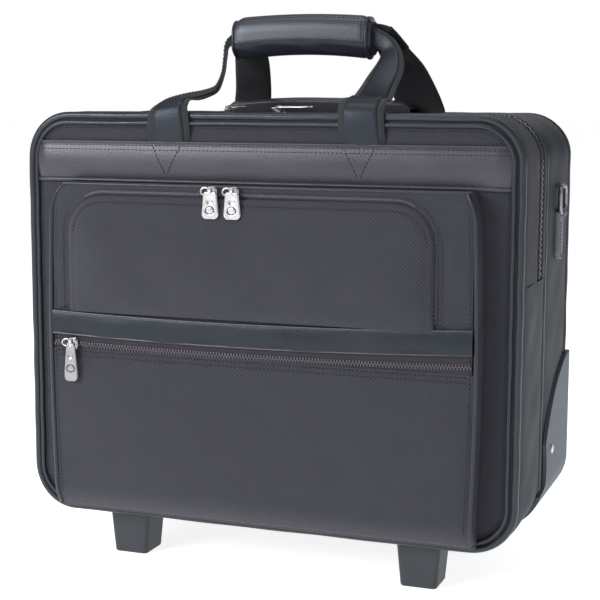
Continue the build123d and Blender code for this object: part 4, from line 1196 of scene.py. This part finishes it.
flap_pad = panel("flap_pad", flap_shape, flap_front, lambda x, z, d: FLAP_BACK_Y + 0.2, NYLON, LINING, 84, 44)
puff(flap_pad, 2.0, 2.4, slack=0.008)
place(flap_pad, "organiser", "nylon", "organiser_flap")

seam = dense(flap_outline(-5.5)[1:-1], 3.0)
seam = seam[seam[:, 1] > flap_low[2] + 6]


def surface_y(piece, x, z):
    """The front of a piece at a place in the front view, in millimetres."""
    hit, where, _, _ = piece.ray_cast(Vector((x / MM, -1.0, z / MM)), Vector((0, 1, 0)))
    return where.y * MM if hit else FLAP_BACK_Y


bpy.context.view_layer.update()
seam_path = np.array([(x, surface_y(flap_pad, x, z), z) for x, z in seam])
seam_out = same(FORWARD, seam_path)
sewn(
    "flap_stitch", seam_path, np.cross(heading(seam_path), seam_out), seam_out, "organiser", "nylon",
    pitch=3.4,
)

# ======== Carrying handle ========


def strap(name, body, slot, edges, layers, squash_z=None, nodes=(), bulge=0.9, sewn=True):
    """A twisting strap: webbing with a leather overlay and its stitches. edges are its two edges, as
    pairs of points; layers are (suffix, share of the width, lift, thickness, material)."""
    low_edge, high_edge = (spline([pair[k] for pair in edges], 9) for k in (0, 1))
    path = (low_edge + high_edge) / 2
    across = high_edge - low_edge
    half = np.linalg.norm(across, axis=1) / 2
    across /= 2 * half[:, None]
    out = np.cross(across, heading(path))
    out /= np.linalg.norm(out, axis=1)[:, None]
    made = []
    for suffix, share, lift, thick, material in layers:
        base = flat_profile(1.0, thick, 0.06, steps=11)
        profile = np.repeat(base[None], len(path), axis=0)
        profile[:, :, 0] *= (half * share)[:, None]
        bow = 1 - (profile[:, :, 0] / half[:, None]) ** 2
        profile[:, :, 1] += lift + bulge * bow
        verts, faces, uvs = sweep(path, across, out, profile)
        made.append(make_piece(f"{name}_{suffix}", verts, faces, [material], uvs))
    top_lift = layers[-1][2] + layers[-1][3]
    for k, way in enumerate((-1, 1) if sewn else ()):
        offset = half * (layers[-1][1] - 0.10) * way
        lift = top_lift + bulge * (1 - (offset / half) ** 2) - 0.05
        line = path + across * offset[:, None] + out * lift[:, None]
        made.append(stitches(f"{name}_stitch_{k + 1}", line, across, out, SEAM_THREAD, pitch=3.6))
    for index, piece in enumerate(made):
        place(piece, body, slot, *(nodes if index == 0 else ()))
        if squash_z is not None:
            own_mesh(piece)


STRAP_LAYERS = (
    ("web", 1.0, 0.0, 1.5, WEBBING),
    ("leather", 0.70, 1.5, 1.0, STRAP_HIDE),
)
front_straps = {
    "left": [
        ((-101, -84.5, 350), (-63, -84.5, 350)), ((-101, -86, 360), (-63, -86, 360)),
        ((-101, -89, 373), (-62.5, -89, 374)), ((-99.5, -87.6, 385.5), (-65, -87.6, 390)),
        ((-94, -78, 392.5), (-66, -79, 395)), ((-84, -58, 398.5), (-64, -67, 395)),
        ((-73, -38, 402), (-62, -54, 397)), ((-68, -20, 407), (-61, -32, 403)),
        ((-68, -4, 418), (-61.5, -17, 418)), ((-68.5, 2, 431), (-61.5, -12, 432)),
        ((-65, 0, 447), (-60.5, -8, 441)), ((-50, -3, 461), (-50, -3, 441)),
    ],
    "right": [
        ((67, -84.5, 350), (105, -84.5, 350)), ((67, -86, 360), (105, -86, 360)),
        ((66, -89, 373), (104, -89, 373)), ((65, -87.6, 388.5), (103, -87.6, 388)),
        ((65, -76, 396), (102, -76, 395)), ((65.5, -57, 396.5), (99, -55, 395)),
        ((66.5, -38, 404.5), (98, -37, 405)), ((68.5, -22, 415), (99, -20, 421)),
        ((74, -8, 429), (93, -9, 437)), ((74, -4, 437), (82, -4, 449)), ((58, -3, 440), (58, -3, 461)),
    ],
}
for name, edges in front_straps.items():
    for part_name, rows, squash_z in (("low", slice(0, 5), None), ("high", slice(3, None), 389.0)):
        strap(
            f"front_strap_{name}_{part_name}", "front_door", "webbing", edges[rows], STRAP_LAYERS, squash_z,
            nodes=("handle_strap_front",) if (name, part_name) == ("left", "low") else (),
        )

rear_straps = {
    "left": [
        ((-36, 13, 452), (-60, 13, 453)), ((-36, 16, 438), (-66, 16, 438)), ((-39, 30, 424), (-72, 30, 424)),
        ((-48, 56, 406), (-83, 57, 406)), ((-53, 68, 392), (-89, 68, 392)),
        ((-54, 69.5, 384), (-90, 69.5, 384)),
    ],
    "right": [
        ((60, 2, 441), (60, 2, 461)), ((64, 6, 441), (80, 7, 456)), ((64, 18, 438), (90, 22, 440)),
        ((64, 40, 423), (99, 41, 425)), ((65, 58, 405), (106, 58, 405)), ((66, 68, 392), (110, 68, 390)),
        ((66, 69.5, 384), (111, 69.5, 384)),
    ],
}
for name, edges in rear_straps.items():
    strap(
        f"rear_strap_{name}", "case", "webbing", edges, (("web", 1.0, -1.2, 2.4, WEBBING),), 385.0,
        nodes=("handle_strap_rear",) if name == "left" else (), sewn=False,
    )
TOP_WRAP = [
    ((63.5, 5, 440.5), (80.5, 6, 456.5)), ((63.5, 11, 440), (85.5, 14, 449)),
    ((63.5, 18, 438.3), (90.7, 22, 440.3)),
]
strap(
    "rear_strap_top", "case", "vinyl", TOP_WRAP, (("leather", 1.0, -2.0, 4.0, STRAP_HIDE),), 385.0,
    sewn=False,
)

# ---- Grip: leather wrapped round the two straps ----
GRIP_X0, GRIP_X1 = grip_low[0] + 2.5, grip_high[0] + 7.0
grip_mid_z = (grip_low[2] + grip_high[2]) / 2


def grip_section(x, grow=0.0):
    """The grip's cross-section at x: a soft rounded box, arched along its length."""
    t = (x - (GRIP_X0 + GRIP_X1) / 2) / ((GRIP_X1 - GRIP_X0) / 2)
    from_end = (1 - abs(t)) * (GRIP_X1 - GRIP_X0) / 2
    pinch = 1.0
    if from_end < 10:
        pinch = math.sqrt(max(1 - ((10 - from_end) / 10) ** 2 * 0.5, 0))
    top = grip_mid_z + 15.6 + 2.6 * (1 - t * t) + grow
    low = grip_mid_z - 19.6 + 4.4 * (1 - t * t) - grow
    mid = (top + low) / 2
    top, low = mid + (top - mid) * pinch, mid + (low - mid) * (0.55 + 0.45 * pinch)
    depth = (13.4 + grow) * (0.72 + 0.28 * pinch)
    loop = []
    for a in np.linspace(0, 2 * math.pi, 56, endpoint=False):
        c, s = math.cos(a), math.sin(a)
        e = 0.62
        y = depth * math.copysign(abs(c) ** e, c) * (0.86 + 0.14 * min(1.0, (1 - s) / 1.1))
        z = mid + (top - low) / 2 * math.copysign(abs(s) ** e, s)
        if s < -0.2:
            y *= 1 - 0.42 * ((-s - 0.2) / 0.8) ** 1.3
        loop.append((x, y, z))
    return loop


stations = np.concatenate([
    GRIP_X0 + 10 * (1 - np.cos(np.linspace(0, math.pi / 2, 9))), np.linspace(GRIP_X0 + 12, GRIP_X1 - 12, 26),
    GRIP_X1 - 10 * (1 - np.cos(np.linspace(math.pi / 2, 0, 9))),
])
verts, faces = lofted([grip_section(x) for x in stations])
verts[:, 1] += ripple(verts, 0.35, 40, 1.0)
verts[:, 1] += ripple(verts, 0.9, 24, 4.0) * (verts[:, 2] < grip_mid_z - 5) * (verts[:, 1] < 0)
# The grip's body is in the darker strap leather, so its underside below the cover is partly painted shade.
grip = make_piece("grip_body", verts, faces, [STRAP_HIDE])
place(grip, "grab_handle", "vinyl", "grip_wrap")


def grip_line(x, share, grow):
    """A point on the grip's front at a share of its height from the top."""
    loop = np.array(grip_section(x, grow))
    front = loop[(loop[:, 1] < 0)]
    front = front[np.argsort(-front[:, 2])]
    z = front[0, 2] + (front[-1, 2] - front[0, 2]) * share
    y = np.interp(-z, -front[:, 2], front[:, 1])
    return np.array([x, y, z])


# The cover over the grip's upper front is in the lighter grip leather: partly painted light.
cover = []
for x in np.linspace(GRIP_X0 + 2.5, GRIP_X1 - 5.5, 50):
    edge = min(1.0, (x - GRIP_X0) / 8, (GRIP_X1 - x) / 8)
    row = [grip_line(x, s, 0.25 + 0.75 * edge) for s in np.linspace(0.004, 0.60, 20)]
    row += [grip_line(x, s, -0.5) for s in np.linspace(0.60, 0.004, 20)]
    cover.append(row)
verts, faces = lofted(cover)
place(make_piece("grip_cover", verts, faces, [LIT_GRIP_HIDE]), "grab_handle", "vinyl")
GRIP_SEAM = {"pitch": 3.4, "thick": 0.7, "rise": 0.15}
for k, (share, tip) in enumerate(((0.085, 0.3), (0.575, 0.0))):
    line = np.array([grip_line(x, share, 1.05) for x in np.linspace(GRIP_X0 + 5, GRIP_X1 - 8, 60)])
    across, out = same((0.0, 0.3, 0.95), line), same((0.0, -0.95, tip), line)
    sewn(f"grip_stitch_{k + 1}", line, across, out, "grab_handle", "vinyl", **GRIP_SEAM)
line = np.array([grip_line(GRIP_X1 - 8, s, 1.05) for s in np.linspace(0.085, 0.575, 16)])
sewn("grip_stitch_3", line, same(RIGHTWARD, line), same(FORWARD, line), "grab_handle", "vinyl", **GRIP_SEAM)
for name, x in (("left", GRIP_X0 + 1.2), ("right", GRIP_X1 - 4.0)):
    cuff = np.array(grip_section(x, 0.35))
    out = cuff - cuff.mean(axis=0)
    out /= np.linalg.norm(out, axis=1)[:, None]
    tube(
        f"grip_cuff_{name}", cuff, same(RIGHTWARD, cuff), out, circle(1.5, 10), HIDE_DARK, "grab_handle",
        "vinyl", closed=True,
    )

# ======== Saddle ========
saddle_low, saddle_high = span("saddle_pad")
rows = []
for x in np.linspace(saddle_low[0], saddle_high[0], 50):
    t = x / saddle_high[0]
    top = saddle_high[2] - 1.5 + 3.6 * (1 - t * t) - 5 * max(0.0, abs(t) - 0.93) / 0.07
    front, back = saddle_low[1] - 0.5, saddle_high[1] + 1.0
    row = [(x, front, TOP_Z - 0.8), (x, front - 0.6, TOP_Z + 3), (x, front - 0.2, top - 5)]
    for a in np.linspace(0, math.pi, 13):
        y = (front + back) / 2 - (back - front) / 2 * math.cos(a)
        row.append((x, y, top - 4 + 4 * math.sin(a) ** 0.8))
    row += [(x, back + 0.2, top - 5), (x, back + 0.4, TOP_Z + 3), (x, back, TOP_Z - 0.8)]
    rows.append(row)
m = len(rows[0])
verts, faces = lofted(rows)
verts[:, 2] += ripple(verts, 0.4, 45, 2.0) * (verts[:, 2] > TOP_Z + 5)
slots = [int(3 <= k % m < m - 4) for k in range(len(faces) - 2)] + [0, 0]
uvs = [(verts[v][0], verts[v][2] + verts[v][1]) for f in faces for v in f]
saddle = make_piece("saddle", verts, faces, [TAPE, HIDE], uvs, slots)
place(saddle, "case", "nylon", "saddle_pad")

# ======== Zip sliders and pulls ========
PIN_HIGH = 5.2


def oriented(points, origin, x_way, z_way):
    """Points given as (along the pin, along the pull, outward) placed on a zip."""
    x_way, z_way = np.array(x_way, float), np.array(z_way, float)
    y_way = np.cross(z_way, x_way)
    p = np.asarray(points, float)
    return np.array(origin) + p[:, :1] * x_way - p[:, 1:2] * y_way + p[:, 2:3] * z_way


def plate(width, length, thickness, dish, columns=26, rows=44):
    """A cast plate with rounded edges: width gives the half-width along it and dish its front relief."""
    verts = []
    vs = 0.5 - 0.5 * np.cos(np.linspace(0, math.pi, rows))
    for layer in (1, -1):
        for v in vs * length:
            half = max(width(v), 0.05)
            for t in np.sin(np.linspace(-math.pi / 2, math.pi / 2, columns)):
                inside = min(half * (1 - abs(t)), v + 0.02, length - v + 0.02)
                swell = thickness / 2 * math.sqrt(min(1.0, inside / 0.9 + 0.02))
                verts.append((half * t, v, layer * swell + (dish(half * t, v) if layer > 0 else 0)))
    return np.array(verts), two_sheets(rows, columns)


def pull_width(v, full, length):
    """Half-width of a pull: a narrow eye that widens to a rounded end."""
    grow = full / 2 * (0.78 + 0.22 * min(v / (length * 0.8), 1))
    if v < 2.2:
        grow *= 0.6 + 0.4 * math.sqrt(max(1 - ((2.2 - v) / 2.2) ** 2, 0))
    end = length - v
    if end < 4.6:
        grow -= 4.2 * (1 - math.sqrt(max(1 - ((4.6 - end) / 4.6) ** 2, 0)))
    return grow


def long_width(v, full, length):
    """Half-width of the long pull: a round eye, a neck, then a blade that widens to its end."""
    base = 4.4 + (full / 2 - 4.4) * min(max(v - 5, 0) / (length * 0.6), 1)
    if v < 4:
        base *= 0.5 + 0.5 * math.sqrt(max(1 - ((4 - v) / 4) ** 2, 0))
    end = length - v
    if end < 4.5:
        base -= 4.0 * (1 - math.sqrt(max(1 - ((4.5 - end) / 4.5) ** 2, 0)))
    return base


def mark_radius(u, v, length):
    """How far out a place on a pull is, where the plain oval mark runs at 1."""
    return math.hypot(u / 3.6, (v - length * 0.64) / 3.0)


def dish_for(length):
    """The relief on a pull's front: a hollow near the eye and a plain oval ring near the end."""
    def dish(u, v):
        hollow = -0.75 * math.exp(-(((u / 2.6) ** 2 + ((v - length * 0.30) / 3.0) ** 2)) ** 3)
        return hollow - 0.3 * math.exp(-((mark_radius(u, v, length) - 1) / 0.22) ** 2)
    return dish


def joined(*parts):
    """Several meshes as one."""
    verts, faces = [], []
    for v, f in parts:
        base = sum(len(x) for x in verts)
        verts.append(np.asarray(v, float))
        faces += [tuple(base + k for k in face) for face in f]
    return np.vstack(verts), faces


def seat(name, z_way):
    """The point on a zip that its slider stands on."""
    low, high = (np.array(corner) for corner in span(f"slider_{name}"))
    way = np.array(z_way)
    return np.where(way == 0, (low + high) / 2, np.where(way < 0, high, low))


zips = {
    "organiser_left": ((1, 0, 0), (0, -1, 0), 15.0, 23.0),
    "organiser_right": ((1, 0, 0), (0, -1, 0), 15.0, 23.0),
    "lower": ((1, 0, 0), (0, -1, 0), 12.6, 34.0),
    "main_left": ((-1, 0, 0), (0, 0, 1), 12.0, 30.0),
    "main_right": ((0, 1, 0), (0, 0, 1), 12.0, 32.0),
}
for name, (x_way, z_way, full, length) in zips.items():
    origin = seat(name, z_way)
    shape = long_width if length > 25 else pull_width
    verts, faces = plate(lambda v: shape(v, full, length - 1), length - 1, 2.2, dish_for(length), 46, 70)
    # Faces on the engraved oval ring take the dark mark material: painted shade in the groove.
    shaded_mark_faces = []
    for face in faces:
        u, v, w = verts[list(face)].mean(axis=0)
        shaded_mark_faces.append(int(w > 0 and abs(mark_radius(u, v, length) - 1) < 0.17))
    verts[:, 1] -= 1.2
    verts[:, 2] += PIN_HIGH
    # The lower pull takes the darker copy of the metal, as painted shade.
    pull = make_piece(f"zip_pull_{name}", oriented(verts, origin, x_way, z_way), faces,
                      [DIMMED_CAST if name == "lower" else CAST, MARK_SHADE], None, shaded_mark_faces, 50)
    place(pull, f"{name}_pull", "zip_metal", f"pull_{name}")

    crown = plate(
        lambda v: 3.9 * (1 - ((v - 5.2) / 6.2) ** 4) - 0.5 * (v > 8), 10.4, 1.3,
        lambda u, v: 0.35 * math.exp(-(u / 1.6) ** 2),
    )
    foot = plate(lambda v: 4.1 * (1 - ((v - 5.2) / 6.2) ** 4), 10.4, 1.2, lambda u, v: 0.0)
    for (part, _), rise in ((crown, 2.7), (foot, 0.7)):
        part[:, 1] -= 5.2
        part[:, 2] += rise
    arc = np.linspace(0, math.pi, 14)
    path = np.stack([np.zeros(14), -4.2 * np.cos(arc), 2.9 + 3.1 * np.sin(arc) ** 0.7], axis=1)
    across = same(RIGHTWARD, path)
    bridge = sweep(path, across, np.cross(heading(path), across), circle(1.25, 10, 0.6))[:2]
    path = np.array([(0, -1.5, 0.6), (0, 1.5, 0.6)])
    post_profile = [(-1.2, 0), (1.2, 0), (1.2, 2.2), (-1.2, 2.2)]
    post = sweep(path, same(RIGHTWARD, path), same(UPWARD, path), post_profile)[:2]
    turn = np.linspace(0, 2 * math.pi, 24, endpoint=False)
    link_out = np.stack([np.cos(turn), np.sin(turn), np.zeros(24)], axis=1)
    path = np.array([-4.6, -1.4, PIN_HIGH - 0.9]) + link_out * np.array([3.8, 3.0, 0.0])
    link = sweep(path, same(UPWARD, path), link_out, circle(0.75, 10), True)[:2]
    verts, faces = joined(crown, foot, bridge, post, link)
    slider = make_piece(f"zip_slider_{name}", oriented(verts, origin, x_way, z_way), faces, [CAST], sharp=50)
    place(slider, f"{name}_slider", "zip_metal", f"slider_{name}")

# ======== Strap rings and their tabs ========
TAB_HALF, TAB_ROUND = 11.5, 9
for name, side in SIDES.items():
    low, high = span(f"ring_tab_{name}")
    x0 = side * (HALF_W - SKIN - 0.4)
    ring_y = (low[1] + high[1]) / 2
    rows = []
    for z in np.linspace(low[2], high[2] - 3.5, 30):
        half = TAB_HALF
        if z < low[2] + TAB_ROUND:
            half = TAB_HALF * math.sqrt(max(1 - ((low[2] + TAB_ROUND - z) / 9.05) ** 2, 0.004))
        swell = 5.0 + 0.5 * math.sin(math.pi * (z - low[2]) / (high[2] - low[2]))
        row = []
        for t in np.linspace(-1, 1, 13):
            row.append((x0 + side * swell * (1 - abs(t) ** 10 * 0.4), ring_y + half * t, z))
        for t in np.linspace(1, -1, 13):
            row.append((x0, ring_y + half * t, z))
        rows.append(row)
    verts, faces = lofted(rows)
    tab = make_piece(f"ring_leather_{name}", verts, faces, [TAB_HIDE])
    place(tab, "case", "vinyl", f"ring_tab_{name}")
    turn = np.linspace(-1, 1, 12)
    path = np.stack([np.full(12, side * 219.0), ring_y + 4.3 * turn, np.full(12, high[2] - 4.0)], axis=1)
    rounds = np.stack([circle(3.8 * math.sqrt(max(1 - (t * 0.8) ** 4, 0.1)), 16) for t in turn])
    tube(
        f"ring_roll_{name}", path, same(RIGHTWARD, path), same(UPWARD, path), rounds, TAB_HIDE, "case",
        "vinyl",
    )
    seam_x = x0 + side * 5.4
    line = [(seam_x, ring_y - 7.2, z) for z in np.linspace(high[2] - 10, low[2] + 10, 20)]
    for t in np.linspace(0, 1, 30):
        a = math.pi * t
        line.append((seam_x, ring_y - 7.2 * math.cos(a), low[2] + TAB_ROUND - 6.6 * math.sin(a)))
    line += [(seam_x, ring_y + 7.2, z) for z in np.linspace(low[2] + 10, high[2] - 10, 20)]
    line = np.array(line)
    out = same((side, 0, 0), line)
    sewn(f"ring_stitch_{name}", line, np.cross(heading(line), out), out, "case", "vinyl", pitch=3.2)

# ======== Camera, light and floor ========
eye = Vector((0.43396, -1.17012, 0.39606))
target = Vector((-0.00329, 0.012, 0.22069))
ROLL = math.radians(0.198)
ahead = (target - eye).normalized()
right = ahead.cross(Vector((0, 0, 1))).normalized()
up = right.cross(ahead)
turned_right = right * math.cos(ROLL) + up * math.sin(ROLL)
turned_up = up * math.cos(ROLL) - right * math.sin(ROLL)
camera_data = bpy.data.cameras.new("camera")
camera_data.lens, camera_data.sensor_width = 86.4, 36.0
camera = bpy.data.objects.new("camera", camera_data)
bpy.context.scene.collection.objects.link(camera)
camera.matrix_world = Matrix.Translation(eye) @ Matrix(
    (
        (turned_right.x, turned_up.x, -ahead.x, 0),
        (turned_right.y, turned_up.y, -ahead.y, 0),
        (turned_right.z, turned_up.z, -ahead.z, 0),
        (0, 0, 0, 1),
    )
)
bpy.context.scene.camera = camera


def softbox(name, place_at, aim, size, power):
    """A large soft light aimed at a point."""
    light = bpy.data.lights.new(name, "AREA")
    light.shape = "RECTANGLE"
    light.size, light.size_y, light.energy = size[0], size[1], power
    lamp = bpy.data.objects.new(name, light)
    lamp.location = place_at
    lamp.rotation_mode = "QUATERNION"
    lamp.rotation_quaternion = (Vector(aim) - Vector(place_at)).to_track_quat("-Z", "Y")
    bpy.context.scene.collection.objects.link(lamp)


softbox("key_light", (-1.3, -1.9, 1.2), (0, 0, 0.2), (1.0, 0.9), 44)
softbox("front_fill", (1.0, -2.6, 0.8), (0, 0, 0.2), (1.8, 1.4), 4)
softbox("side_light", (2.4, -0.3, 1.0), (0, 0, 0.2), (1.0, 1.6), 5)
softbox("top_light", (-0.2, -0.3, 2.4), (0, 0, 0.2), (1.6, 1.2), 16)
softbox("back_light", (0.2, 2.4, 1.8), (0, 0, 0.2), (2.0, 1.4), 10)

AMBIENT = 0.18
world = bpy.data.worlds.new("studio")
world.use_nodes = True
world.node_tree.nodes["Background"].inputs["Color"].default_value = (1, 1, 1, 1)
seen = world.node_tree.nodes.new("ShaderNodeLightPath").outputs["Is Camera Ray"]
glow = maths(world.node_tree, "MULTIPLY_ADD", seen, 1.0 - AMBIENT)
glow.node.inputs[2].default_value = AMBIENT
world.node_tree.links.new(glow, world.node_tree.nodes["Background"].inputs["Strength"])
bpy.context.scene.world = world

FLOOR = moulded("studio_floor", (0.84, 0.84, 0.84), (0.86, 0.86, 0.86), 0.9, grain=0.0)
floor_shader = FLOOR.node_tree.nodes["Principled BSDF"]
floor_shader.inputs["Emission Color"].default_value = (1, 1, 1, 1)
floor_shader.inputs["Emission Strength"].default_value = 0.84
floor_mesh = bpy.data.meshes.new("floor")
floor_shape = bmesh.new()
bmesh.ops.create_grid(floor_shape, x_segments=1, y_segments=1, size=30.0)
floor_shape.to_mesh(floor_mesh)
floor_shape.free()
floor_mesh.materials.append(FLOOR)
floor = bpy.data.objects.new("studio_floor", floor_mesh)
bpy.context.scene.collection.objects.link(floor)

bpy.context.scene.view_settings.view_transform = "Standard"
bpy.context.scene.view_settings.look = "None"
